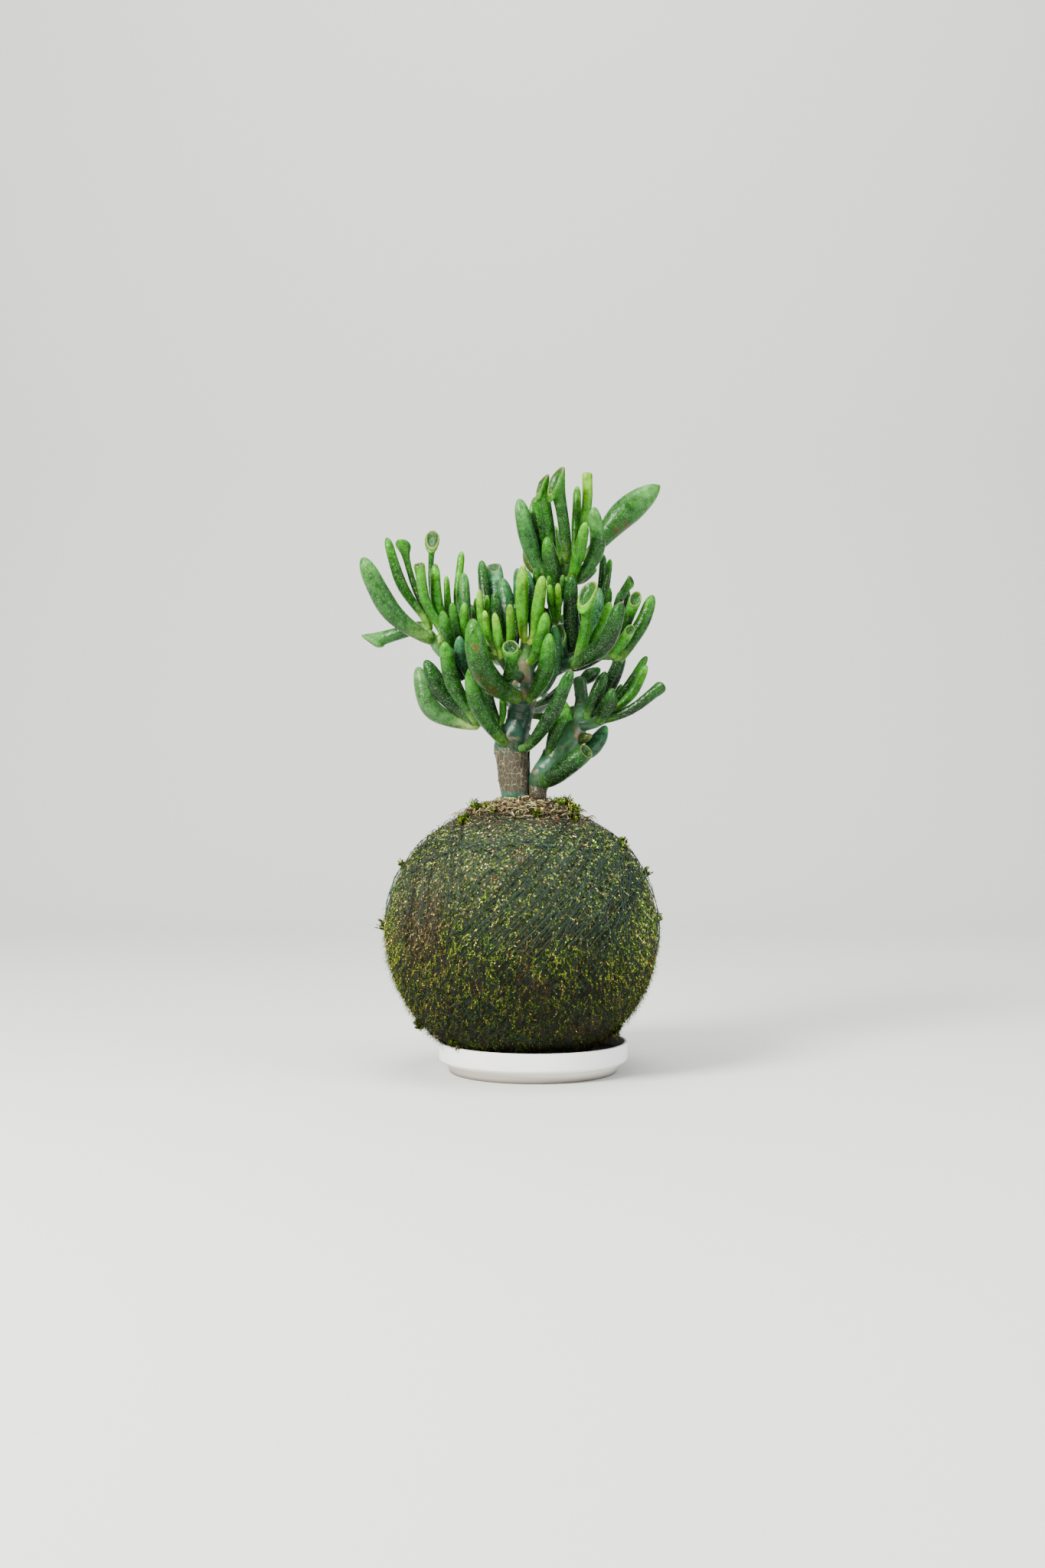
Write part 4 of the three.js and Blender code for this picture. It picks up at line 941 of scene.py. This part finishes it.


# Moss shoots over a band of the ball. Where the thread holds, they lie flat and short, all but a few:
# length runs from free to held, and lift = length * (0.78 - 0.72 * hold). Each is fresh, olive,
# pressed, dry or rusty by where it grows, or painted dark as shade, more of them low down.
def mossCoat(name, low, high, count, seed):
    rng = np.random.default_rng(seed)
    direction = spreadDirections(count, rng, low, high)
    flat = np.hypot(direction[:, 0], direction[:, 1]) * ball["radius"]
    direction = direction[(direction[:, 2] < 0) | (flat > ball["mouth"] - 1)]
    x, z = direction[:, 0], direction[:, 2]
    hold = tightness(direction)
    count = len(hold)
    hold = hold * np.where(rng.random(count) < 0.5 - 0.38 * hold, 0.12, 1)
    upright = np.array((0.0, 0, 1)) - direction * direction[:, 2:]
    heading = unit(np.cross(direction, rng.standard_normal(direction.shape)) - 1.3 * upright)
    held, free = mossLook["length"]
    length = between(free, held, hold) * rng.uniform(0.7, 1.2, count)
    lift = length * (0.78 - 0.72 * hold) * rng.uniform(0.3, 1.3, count)
    dry, chance = dryness(direction), rng.random(count)
    # share of fresh over olive shoots; it falls towards the foot as painted shade
    light = (0.46 + 0.4 * skinNoise(direction, 8.0, 9) - 0.12 * hold + 0.5 * smooth((-x - 0.78) / 0.15)
             - 0.5 * smooth((-0.6 - z) / 0.3))
    kind = rng.random(count)
    fresh = pick(mossLook["fresh"], count, rng)
    tints = np.where((kind < light)[:, None], fresh, pick(mossLook["olive"], count, rng))

    # those that where is true for take one of these colours instead
    def repainted(where, colours):
        return np.where(where[:, None], pick(mossLook[colours], count, rng), tints)

    # painted shade: dark shaded colours, more of them low down
    tints = repainted(kind > 0.62 + 0.3 * light - 0.22 * smooth((0.1 - z) / 0.6), "shaded")
    tints = repainted(rng.random(count) < mossLook["pressedShare"] * hold, "pressed")
    tints = repainted(chance < dry * 0.85 + mossLook["dryShare"], "dry")
    tints = repainted(chance > 1 - mossLook["rustShare"], "rust")
    # painted shade and light: darker towards the foot, and paler at the upper right; yellower towards the
    # foot too
    paintedShading = (0.2 + 0.82 * smooth((z + 1) / 1.72)) * (1 + 1.2 * smooth((x + 0.5 * z - 0.4) / 0.45))
    tints = tints * paintedShading[:, None] * np.stack([1.02 + 0 * z, 1 + 0 * z, 0.6 + 0.56 * z], 1)
    roots = ballSkin(direction, -0.45 - 0.1 * hold)
    part = mossShoots(roots, direction, heading, length, lift, tints, rng, mossLook)
    part["verts"][:, 2] = np.maximum(part["verts"][:, 2], ball["rest"] + 0.1)
    addPiece(name, part, [mossLeaves])


mossLeaves = mossLeafMaterial()
addPiece("moss_sheet", gathered([mossSheet()]), [mossBedMaterial()], "moss_ball")
bands = mossLook["bands"]
for number, (low, high) in enumerate(zip(bands[:-1], bands[1:])):
    share = (high - low) / (bands[-1] - bands[0])
    mossCoat(f"moss_leaves_{number}", low, high, int(mossLook["shoots"] * share), mossLook["seed"] + number)
print("moss done")


# Each group of bundles: how many, how far they lean from level and towards which side in degrees,
# how much both vary, and the range of their offset from the ball's middle as a share of its radius
threadLook = dict(
    radius=0.2, sides=3, steps=126, lift=0.8,    # lift: height over the ball's skin in millimetres
    steep=68, clear=71, highest=0.93,    # where windings may run: see windingPlanes
    colour="#0e1815", worn="#30453c", dirt="#2f3418",
    strands=2, gap=2.1,           # windings in a bundle, and millimetres between them
    groups=[
        (24, 48, 182, 3, -0.46, 0.46), (9, 57, 208, 4, -0.32, 0.30), (2, 50, 152, 5, -0.28, 0.30),
        (2, 50, 300, 6, -0.30, 0.30), (2, 57, 35, 5, -0.24, 0.24), (2, 45, 90, 6, -0.30, 0.30),
        (2, 62, 262, 7, -0.14, 0.16), (6, 84, 184, 4, 0.55, 0.84), (4, 84, 356, 4, 0.58, 0.88),
    ],
)


# Lean, side and offset of each winding's plane. The windings of a bundle run side by side, and the
# mouth stays free: an offset is at most sin(clear - lean), unless the winding is steep.
def windingPlanes(rng):
    groups = threadLook["groups"]
    leans, sides, vary, low, high = (
        np.repeat([group[i] for group in groups], [group[0] for group in groups]) for i in range(1, 6))
    bundles = len(leans)
    strand = np.tile(np.arange(threadLook["strands"]), bundles)
    number = len(strand)
    lean = leans + vary * rng.uniform(-1, 1, bundles)
    side = sides + 1.4 * vary * rng.uniform(-1, 1, bundles)
    place = np.concatenate([(np.arange(group[0]) + rng.random(group[0])) / group[0] for group in groups])
    offset = np.repeat(between(low, high, place), threadLook["strands"])
    lean = np.radians(np.repeat(lean, threadLook["strands"]) + rng.normal(0, 0.6, number))
    side = np.radians(np.repeat(side, threadLook["strands"]) + rng.normal(0, 0.6, number))
    offset = offset + (strand + rng.uniform(-0.3, 0.3, number)) * threadLook["gap"] / ball["radius"]
    clear = np.sin(np.radians(threadLook["clear"]) - lean)
    room = np.where(lean < np.radians(threadLook["steep"]), clear, 1)
    return lean, side, np.clip(offset, -room, np.minimum(room, threadLook["highest"]))


# Windings of thread, each a circle round the ball at (first cos t + second sin t) * sqrt(1 - shift^2)
# + axis * shift, pressed on the skin and sunk where the moss is loose. Its offset wavers by two slow
# sine waves.
def threadWindings():
    rng = np.random.default_rng(77)
    lean, side, offset = windingPlanes(rng)
    number = len(offset)
    axis = np.stack([np.sin(lean) * np.cos(side), np.sin(lean) * np.sin(side), np.cos(lean)], 1)[:, None]
    first = np.stack([-np.sin(side), np.cos(side), 0 * side], 1)[:, None]
    second = np.cross(axis, first)
    turn = np.linspace(0, 2 * np.pi, threadLook["steps"], endpoint=False)[None, :, None]
    slow, quick = 6 * rng.random((number, 1, 1)), 6 * rng.random((number, 1, 1))
    shift = offset[:, None, None] + (0.010 * np.sin(3 * turn + slow) + 0.006 * np.sin(7 * turn + quick))
    direction = (first * np.cos(turn) + second * np.sin(turn)) * np.sqrt(1 - shift**2) + axis * shift
    bury = 0.3 * skinNoise(direction, 9.0, 6) - 1.9 * (1 - tightness(direction))
    line = ballSkin(direction, threadLook["lift"] + bury + 0.2 * rng.random((number, 1)))
    heading = unit(np.roll(line, -1, 1) - np.roll(line, 1, 1))
    out = unit(direction - heading * (direction * heading).sum(-1, keepdims=True))
    across = np.cross(heading, out)
    angle = angles(threadLook["sides"])
    rings = (line[:, :, None] + threadLook["radius"] * (out[:, :, None] * np.cos(angle)[:, None]
             + across[:, :, None] * np.sin(angle)[:, None]))
    loop = gridQuads(threadLook["steps"], threadLook["sides"], closed=True)
    start = np.arange(number) * threadLook["steps"] * threadLook["sides"]
    quads = (loop[None] + start[:, None, None]).reshape(-1, 4)
    wear = rng.random((number, 1, 1, 1))
    tint = between(linear(threadLook["colour"]), linear(threadLook["worn"]), wear)
    verts = rings.reshape(-1, 3)
    verts[:, 2] = np.maximum(verts[:, 2], ball["rest"])
    return dict(verts=verts, quads=quads, tint=np.broadcast_to(tint, rings.shape).reshape(-1, 3))


# Fine nylon thread, twisted: smooth fibres that show as a thin dark line with a dull shine.
def threadMaterial():
    material, tree, shader, place = newMaterial("twisted_nylon_thread", IOR=1.53, Specular_IOR_Level=0.16)
    tint = addNode(tree, "Attribute", attribute_name="tint")["Color"]
    # dust and moss dirt along it, in stretches of 3 mm
    dirt = addNode(tree, "TexNoise", dict(Vector=place, Scale=330, Detail=3))["Fac"]
    dirt = addNode(tree, "MapRange", (dirt, 0.48, 0.72, 0.0, 0.6))["Result"]
    colour = addNode(tree, "Mix", {0: dirt, 6: tint, 7: rgba(threadLook["dirt"])}, data_type="RGBA")[2]
    rough = addNode(tree, "MapRange", (dirt, 0.0, 0.6, 0.42, 0.8))["Result"]
    wire(shader, Base_Color=colour, Roughness=rough)
    return material


addPiece("thread_windings", threadWindings(), [threadMaterial()], "binding_thread")
print("thread done")


dressing = dict(
    reach=19.4, depth=6.0,        # radius and thickness of the layer in the mouth
    mound=2.2, crumb=1.1,         # rise at its middle and height of its crumbs
    around=120, over=48, under=10,    # points round it, and rings over and under it
    middle=0.3,                   # radius of its smallest rings
    bed=("#2c1e14", "#5e4630"),
    fibres=dict(count=1300, seed=61, reach=35, length=(3, 9), width=(0.22, 0.55), rise=2.2,
                colours=("#a89a68", "#7c623c", "#ccc28c", "#3a2a1a", "#8c8a50", "#2a1c12")),
    chips=dict(count=420, seed=62, reach=27, length=(2.4, 5.5), width=(0.7, 1.5), rise=0.5,
               colours=("#7c5638", "#a07c5c", "#3a2618", "#b89c74", "#24180f", "#5e5a2a")),
)


# Top of the ball over a point of the ground plan: centre z + top * sqrt(1 - (distance / radius)^2).
def ballTop(x, y, offset=0.0):
    far = np.hypot(x - ballCentre[0], y - ballCentre[1]) / ball["radius"]
    return ballCentre[2] + (ball["top"] + offset) * np.sqrt(np.maximum(1 - far**2, 0))


# The layer in the mouth: rings out over its crumbly top and back in under it, at the height
# ball's top + mound * smooth(1 - r / reach) + noise, or its depth below the ball's top.
def dressingLayer():
    turn = angles(dressing["around"])
    middle, reach = dressing["middle"], dressing["reach"]
    over, under = np.linspace(middle, reach, dressing["over"]), np.linspace(reach, middle, dressing["under"])
    out = np.concatenate([over, under])[:, None]
    below = np.arange(len(out))[:, None] >= len(over)
    x = ballCentre[0] + out * np.cos(turn)
    y = ballCentre[1] + out * np.sin(turn)
    flat = np.stack([x, y, 0 * x], -1)
    rise = dressing["mound"] * smooth(1 - out / reach) + 0.4
    rise = rise + dressing["crumb"] * (cloudNoise(flat, 2.6, 31) + 0.6 * cloudNoise(flat, 1.1, 32))
    z = ballTop(x, y) + np.where(below, -dressing["depth"], rise)
    rings = np.stack([x, y, z], -1)
    mix = smooth(0.5 + cloudNoise(flat, 2.0, 33))[..., None]
    dark, pale = (linear(colour) for colour in dressing["bed"])
    tint = between(dark, pale, mix)
    return tube(rings[::-1], tint[::-1], np.zeros(rings.shape))


# Loose strips on the ball's top: each a bent three-sided rod, tapered at both ends,
# start + heading * length * s + side * bend * sin(pi s) + up * rise * sin(pi s).
def strips(starts, headings, lengths, widths, bends, rises, tints, rng, rows=6):
    s = np.linspace(0, 1, rows)[None, :, None]
    up = np.array((0.0, 0.0, 1.0))
    side = unit(np.cross(up, headings))[:, None]
    arc = np.sin(np.pi * s)
    line = (starts[:, None] + headings[:, None] * lengths[:, None, None] * s
            + side * bends[:, None, None] * arc + up * rises[:, None, None] * arc)
    heading = unit(np.gradient(line, axis=1))
    out = unit(up + 0.8 * rng.standard_normal((len(starts), 1, 3)) - heading * heading[..., 2:3])
    across = unit(np.cross(heading, out))
    angle = angles(3)
    thick = (widths[:, None, None] * np.sqrt(np.maximum(np.sin(np.pi * (0.06 + 0.88 * s)), 0)))[..., None]
    rings = line[:, :, None] + thick * (0.45 * out[:, :, None] * np.cos(angle)[:, None]
                                        + across[:, :, None] * np.sin(angle)[:, None])
    plain = np.zeros((rows, 3))
    return gathered([tube(ring, np.broadcast_to(tint, (rows, 3)), plain) for ring, tint in zip(rings, tints)])


# Strips strewn round the stems: their distance is reach * sqrt(random) * U(0.75, 1), so they lie dense
# in the mouth and thin out to the edge of the bare ring. One whose middle stands more than 1.2 mm over
# the mound is lowered, and they are darker further out.
def strewnStrips(count, seed, reach, length, width, rise, colours):
    rng = np.random.default_rng(seed)
    far = reach * np.sqrt(rng.random(count)) * rng.uniform(0.75, 1.0, count)
    turn = rng.uniform(0, 2 * np.pi, count)
    x, y = ballCentre[0] + far * np.cos(turn), ballCentre[1] + far * np.sin(turn)
    way = rng.uniform(0, 2 * np.pi, count)
    headings = unit(np.stack([np.cos(way), np.sin(way), rng.uniform(-0.15, 0.3, count)], 1))
    lengths = rng.uniform(*length, count)
    mound = dressing["mound"] * smooth(1 - far / dressing["reach"])
    starts = np.stack([x, y, ballTop(x, y) + mound + rng.uniform(0.1, 0.9, count)], 1)
    middle = starts + headings * lengths[:, None] / 2
    starts[:, 2] += np.minimum(0, ballTop(middle[:, 0], middle[:, 1]) + mound + 1.2 - middle[:, 2])
    tints = pick(colours, count, rng) * ((1.35 - 0.8 * far / reach) * rng.uniform(0.55, 1.4, count))[:, None]
    widths, bends = rng.uniform(*width, count), rng.uniform(-0.25, 0.25, count) * lengths
    return strips(starts, headings, lengths, widths, bends, rng.uniform(0, rise, count), tints, rng)


# Bark mulch and root fibre, shredded and dried: dull, fibrous, light tan on broken faces.
def mulchMaterial():
    material, tree, shader, place = newMaterial("shredded_bark_mulch", IOR=1.45)
    # fibres 0.3 mm apart, drawn as 0.6 mm so that they show
    grain, colour = mottled(tree, place, dict(Scale=1600, Detail=4, Roughness=0.7), 0.3, 0.7, 0.55, 1.4)
    rough = addNode(tree, "MapRange", (grain, 0.3, 0.7, 0.75, 0.95))["Result"]
    bump = addNode(tree, "Bump", dict(Height=grain, Strength=0.8, Distance=0.0004))["Normal"]
    wire(shader, Base_Color=colour, Roughness=rough, Normal=bump)
    return material


mulch = mulchMaterial()
addPiece("mulch_layer", gathered([dressingLayer()]), [mulch], "top_dressing")
for name in ("fibres", "chips"):
    addPiece("mulch_" + name, strewnStrips(**dressing[name]), [mulch])


tuftLook = dict(pairs=6, leafLength=1.6, leafWidth=0.95)    # larger than real leaves, so that they show
# Tufts of upright moss: picture point, depth, spread and height in millimetres, and count of shoots
tufts = [
    (724, 1058, -8, 3.5, 6.5, 90), (734, 1058, -4, 4.0, 8.5, 110), (744, 1064, -8, 3.5, 6.5, 90),
    (738, 1078, -16, 6.0, 3.5, 60), (627, 1060, -15, 3.0, 8.0, 50), (640, 1060, -15, 4.0, 4.0, 40),
    (612, 1074, -20, 6.0, 4.0, 40), (650, 1066, -20, 6.0, 3.0, 30),
    (700, 1072, -24, 9.0, 2.6, 40), (808, 1100, -10, 5.0, 4.6, 30), (835, 1140, 0, 5.0, 3.5, 24),
    (497, 1210, 0, 4.0, 5.0, 12), (520, 1120, 0, 5.0, 3.5, 18), (855, 1200, 0, 4.0, 3.5, 14),
    (600, 1352, -30, 6.0, 3.5, 20), (560, 1330, -10, 6.0, 3.5, 20), (800, 1345, -20, 6.0, 4.0, 24),
]


# Upright moss shoots round points of the ball: root = foot + shake * spread / 2 * random, sunk by
# 0.8 mm, each leaning outward and up, and painted darker lower down the ball as painted shade.
def mossTufts():
    rng = np.random.default_rng(91)
    parts = []
    for x, y, depth, spread, height, count in tufts:
        outward = unit(placed([(x, y, depth)])[0] - ballCentre)
        foot = ballSkin(outward, 0.0)
        shake = unit(rng.standard_normal((count, 3)))
        roots = foot + shake * spread * 0.5 * rng.random((count, 1)) - outward * 0.8
        headings = unit(outward + 0.35 * shake + (0, 0, 0.5))
        normals = unit(np.cross(headings, rng.standard_normal((count, 3))))
        lengths = height * rng.uniform(0.4, 1.0, count)
        # painted shade: darker lower down the ball
        paintedShading = 0.35 + 0.5 * smooth((outward[2] + 0.8) / 1.4)
        tints = pick(mossLook["fresh"] + mossLook["olive"], count, rng) * paintedShading
        parts.append(mossShoots(roots, normals, headings, lengths, 0.2 * lengths, tints, rng, tuftLook))
    return dict(gathered(parts), rounded=False)


addPiece("moss_tufts", mossTufts(), [mossLeaves])
print("dressing done")


soilLook = dict(crumbs=("#1f1610", "#4a3626"))


# Potting soil, damp: dark crumbs of peat and clay 1 to 3 mm across.
def soilMaterial():
    material, tree, shader, place = newMaterial("damp_potting_soil", IOR=1.4)
    crumb = addNode(tree, "TexNoise", dict(Vector=place, Scale=500, Detail=6, Roughness=0.7))["Fac"]
    dark, pale = (rgba(colour) for colour in soilLook["crumbs"])
    colour = addNode(tree, "Mix", {0: crumb, 6: dark, 7: pale}, data_type="RGBA")[2]
    damp = addNode(tree, "MapRange", (crumb, 0.3, 0.7, 0.6, 0.95))["Result"]
    bump = addNode(tree, "Bump", dict(Height=crumb, Strength=1, Distance=0.001))["Normal"]
    wire(shader, Base_Color=colour, Roughness=damp, Normal=bump)
    return material


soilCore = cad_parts["soil_core"]
soilCore.data.materials.clear()
soilCore.data.materials.append(soilMaterial())


saucerLook = dict(
    around=160, rim=49.3, height=16.0, wall=1.7, foot=43.2, band=6.2, floor=3.5,
    edge=0.55,                    # rounding of its edges in millimetres
    glaze="#f3f2ef", underside="#e2ddd2", insideShadeAndStain="#3c4034", footGrimeAndContactShade="#4c3d32",
)


# Corners rounded: each is cut back by the radius along both sides and bridged by a quadratic curve
# (1-t)^2 a + 2t(1-t) corner + t^2 b.
def roundedCorners(points, radius, steps=5):
    points = np.array(points, float)
    corner, before, after = points[1:-1], points[:-2], points[2:]
    room = 0.48 * np.linalg.norm([before - corner, after - corner], axis=-1).min(0)[:, None]
    a = corner + unit(before - corner) * np.minimum(radius, room)
    b = corner + unit(after - corner) * np.minimum(radius, room)
    t = np.linspace(0, 1, steps)[None, :, None]
    bridge = (1 - t) ** 2 * a[:, None] + 2 * t * (1 - t) * corner[:, None] + t**2 * b[:, None]
    return np.vstack([points[:1], bridge.reshape(-1, 2), points[-1:]])


# The saucer turned on its axis: (r cos a, r sin a, z), its rim a hair out of true, its inside darkened
# up to just under the rim as painted shade under the ball, with some moss and water stain, and the edge
# of its foot darkened as a painted contact shadow, with some dirt.
def saucerPart():
    rim, high, inner = saucerLook["rim"], saucerLook["height"], saucerLook["rim"] - saucerLook["wall"]
    foot, band, floor = saucerLook["foot"], saucerLook["band"], saucerLook["floor"]
    profile = roundedCorners([
        (0.5, 0.5), (foot - 4, 0.5), (foot - 3.2, 0), (foot, 0), (foot + 1.6, band - 1.4),
        (rim - 1.6, band - 0.6), (rim - 0.1, band + 0.9), (rim, high), (inner, high),
        (inner - 0.2, band + 3.4), (foot, band + 0.4), (foot - 4, floor), (0.5, floor),
    ], saucerLook["edge"])
    turn = angles(saucerLook["around"])
    r, z = profile[:, :1], profile[:, 1:]
    wobble = 1 + 0.0012 * np.sin(2 * turn + 0.6) + 0.0006 * np.sin(5 * turn)
    warp = 0.06 * np.sin(2 * turn) * (z > 10)
    rings = np.stack([r * wobble * np.cos(turn), r * wobble * np.sin(turn), z + warp], -1)
    glaze, underside, insideShadeAndStain, footGrimeAndContactShade = (linear(saucerLook[k]) for k in ("glaze", "underside", "insideShadeAndStain", "footGrimeAndContactShade"))
    # painted shade: the inside is darkened from just under the rim down, as the shade under the ball, with
    # some moss stain
    inside = (np.arange(len(r)) > len(r) * 0.72)[:, None, None] * smooth((high - 1.2 - z) / 2.5)[..., None]
    shade = between(glaze, underside, smooth((band + 0.6 - z) / 1.2)[..., None])
    shade = between(shade, insideShadeAndStain, 0.85 * inside)
    # painted contact shadow: the bottom edge of the foot is darkened where it meets the floor, with some dirt
    # in it
    shade = between(shade, footGrimeAndContactShade, 0.9 * smooth((0.95 - z) / 0.4)[..., None])
    return tube(rings, shade * np.ones((1, len(turn), 1)), np.zeros(rings.shape))


# Stoneware, slip-cast with a matt white glaze: even and chalky, with a low broad shine and faint
# pooling.
def glazeMaterial():
    material, tree, shader, place = newMaterial(
        "slip_cast_matt_white_glaze", IOR=1.5, Coat_Weight=0.12, Coat_Roughness=0.45)
    # slow pooling over 12 mm and pinholes of 0.5 mm
    pool, colour = mottled(tree, place, dict(Scale=80, Detail=3), 0.3, 0.7, 0.96, 1.02)
    rough = addNode(tree, "MapRange", (pool, 0.3, 0.7, 0.48, 0.6))["Result"]
    pits = addNode(tree, "TexNoise", dict(Vector=place, Scale=1900, Detail=2))["Fac"]
    bump = addNode(tree, "Bump", dict(Height=pits, Strength=0.12, Distance=0.0003))["Normal"]
    wire(shader, Base_Color=colour, Roughness=rough, Normal=bump)
    return material


addPiece("glazed_saucer", gathered([saucerPart()]), [glazeMaterial()], "saucer")
print("saucer done")


stageLook = dict(
    width=5200.0, front=2200.0, back=1500.0, rise=1900.0, bend=600.0, bendSteps=24,
    paint=("#cdcfca", "#d3d5d0"),
    sky="#eef1f4", skyStrength=0.12,
    sensor=36.0, lens=40.96,      # height of the camera's picture plane and its focal length
)
# Each light: its place, what it aims at, its width in metres, its watts and its colour
lights = dict(
    window_left=((-720, -780, 840), (0, 0, 150), 0.5, 52.0, "#fffdf8"),
    fill_right=((900, -500, 420), (0, 0, 120), 0.9, 13.0, "#f4f8ff"),
    overhead=((0, -100, 2300), (0, 1500, 500), 1.6, 93.0, "#ffffff"),
)


# Floor and wall as one sheet: flat, then a quarter circle of the bend's radius, then upright.
def sweepSheet():
    bend, back, rise = stageLook["bend"], stageLook["back"], stageLook["rise"]
    turn = np.linspace(0, np.pi / 2, stageLook["bendSteps"])
    y = np.concatenate([[-stageLook["front"]], back - bend + bend * np.sin(turn), [back]])
    z = np.concatenate([[0], bend - bend * np.cos(turn), [rise]])
    half = stageLook["width"] / 2
    verts = np.vstack([np.stack([np.full(len(y), x), y, z], 1) for x in (-half, half)])
    column = np.arange(len(y) - 1)
    quads = np.stack([column, column + len(y), column + 1 + len(y), column + 1], 1)
    mesh = bpy.data.meshes.new("studio_sweep")
    mesh.from_pydata((verts * metre).tolist(), [], quads.tolist())
    mesh.shade_smooth()
    sheet = bpy.data.objects.new("studio_sweep", mesh)
    bpy.context.collection.objects.link(sheet)
    material, tree, shader, place = newMaterial("painted_studio_sweep", Roughness=0.85)
    # roller texture of 2 mm, hardly seen
    grain = addNode(tree, "TexNoise", dict(Vector=place, Scale=500, Detail=2))["Fac"]
    dark, pale = (rgba(colour) for colour in stageLook["paint"])
    colour = addNode(tree, "Mix", {0: grain, 6: dark, 7: pale}, data_type="RGBA")[2]
    wire(shader, Base_Color=colour)
    mesh.materials.append(material)


# A round soft light at its place, its own -Z axis turned to what it aims at.
def areaLight(name, place, aim, size, power, colour):
    light = bpy.data.lights.new(name, "AREA")
    light.shape, light.size, light.energy, light.color = "DISK", size, power, linear(colour)
    holder = bpy.data.objects.new(name, light)
    bpy.context.collection.objects.link(holder)
    holder.location = np.array(place) * metre
    holder.rotation_euler = (Vector(aim) - Vector(place)).to_track_quat("-Z", "Y").to_euler()


# A pale even sky, the lights, and a level camera at the eye that looks along +Y.
def lightAndCamera():
    world = bpy.data.worlds.new("soft_daylight")
    bpy.context.scene.world = world
    world.use_nodes = True
    world.node_tree.nodes["Background"].inputs["Color"].default_value = rgba(stageLook["sky"])
    world.node_tree.nodes["Background"].inputs["Strength"].default_value = stageLook["skyStrength"]
    for name, values in lights.items():
        areaLight(name, *values)
    lens = bpy.data.cameras.new("picture_camera")
    lens.sensor_fit, lens.sensor_height, lens.lens = "VERTICAL", stageLook["sensor"], stageLook["lens"]
    lens.clip_start, lens.clip_end = 0.05, 20.0
    camera = bpy.data.objects.new("picture_camera", lens)
    bpy.context.collection.objects.link(camera)
    camera.location = eye * metre
    camera.rotation_euler = (np.pi / 2, 0, 0)
    bpy.context.scene.camera = camera


sweepSheet()
lightAndCamera()
print("stage, light and camera done")
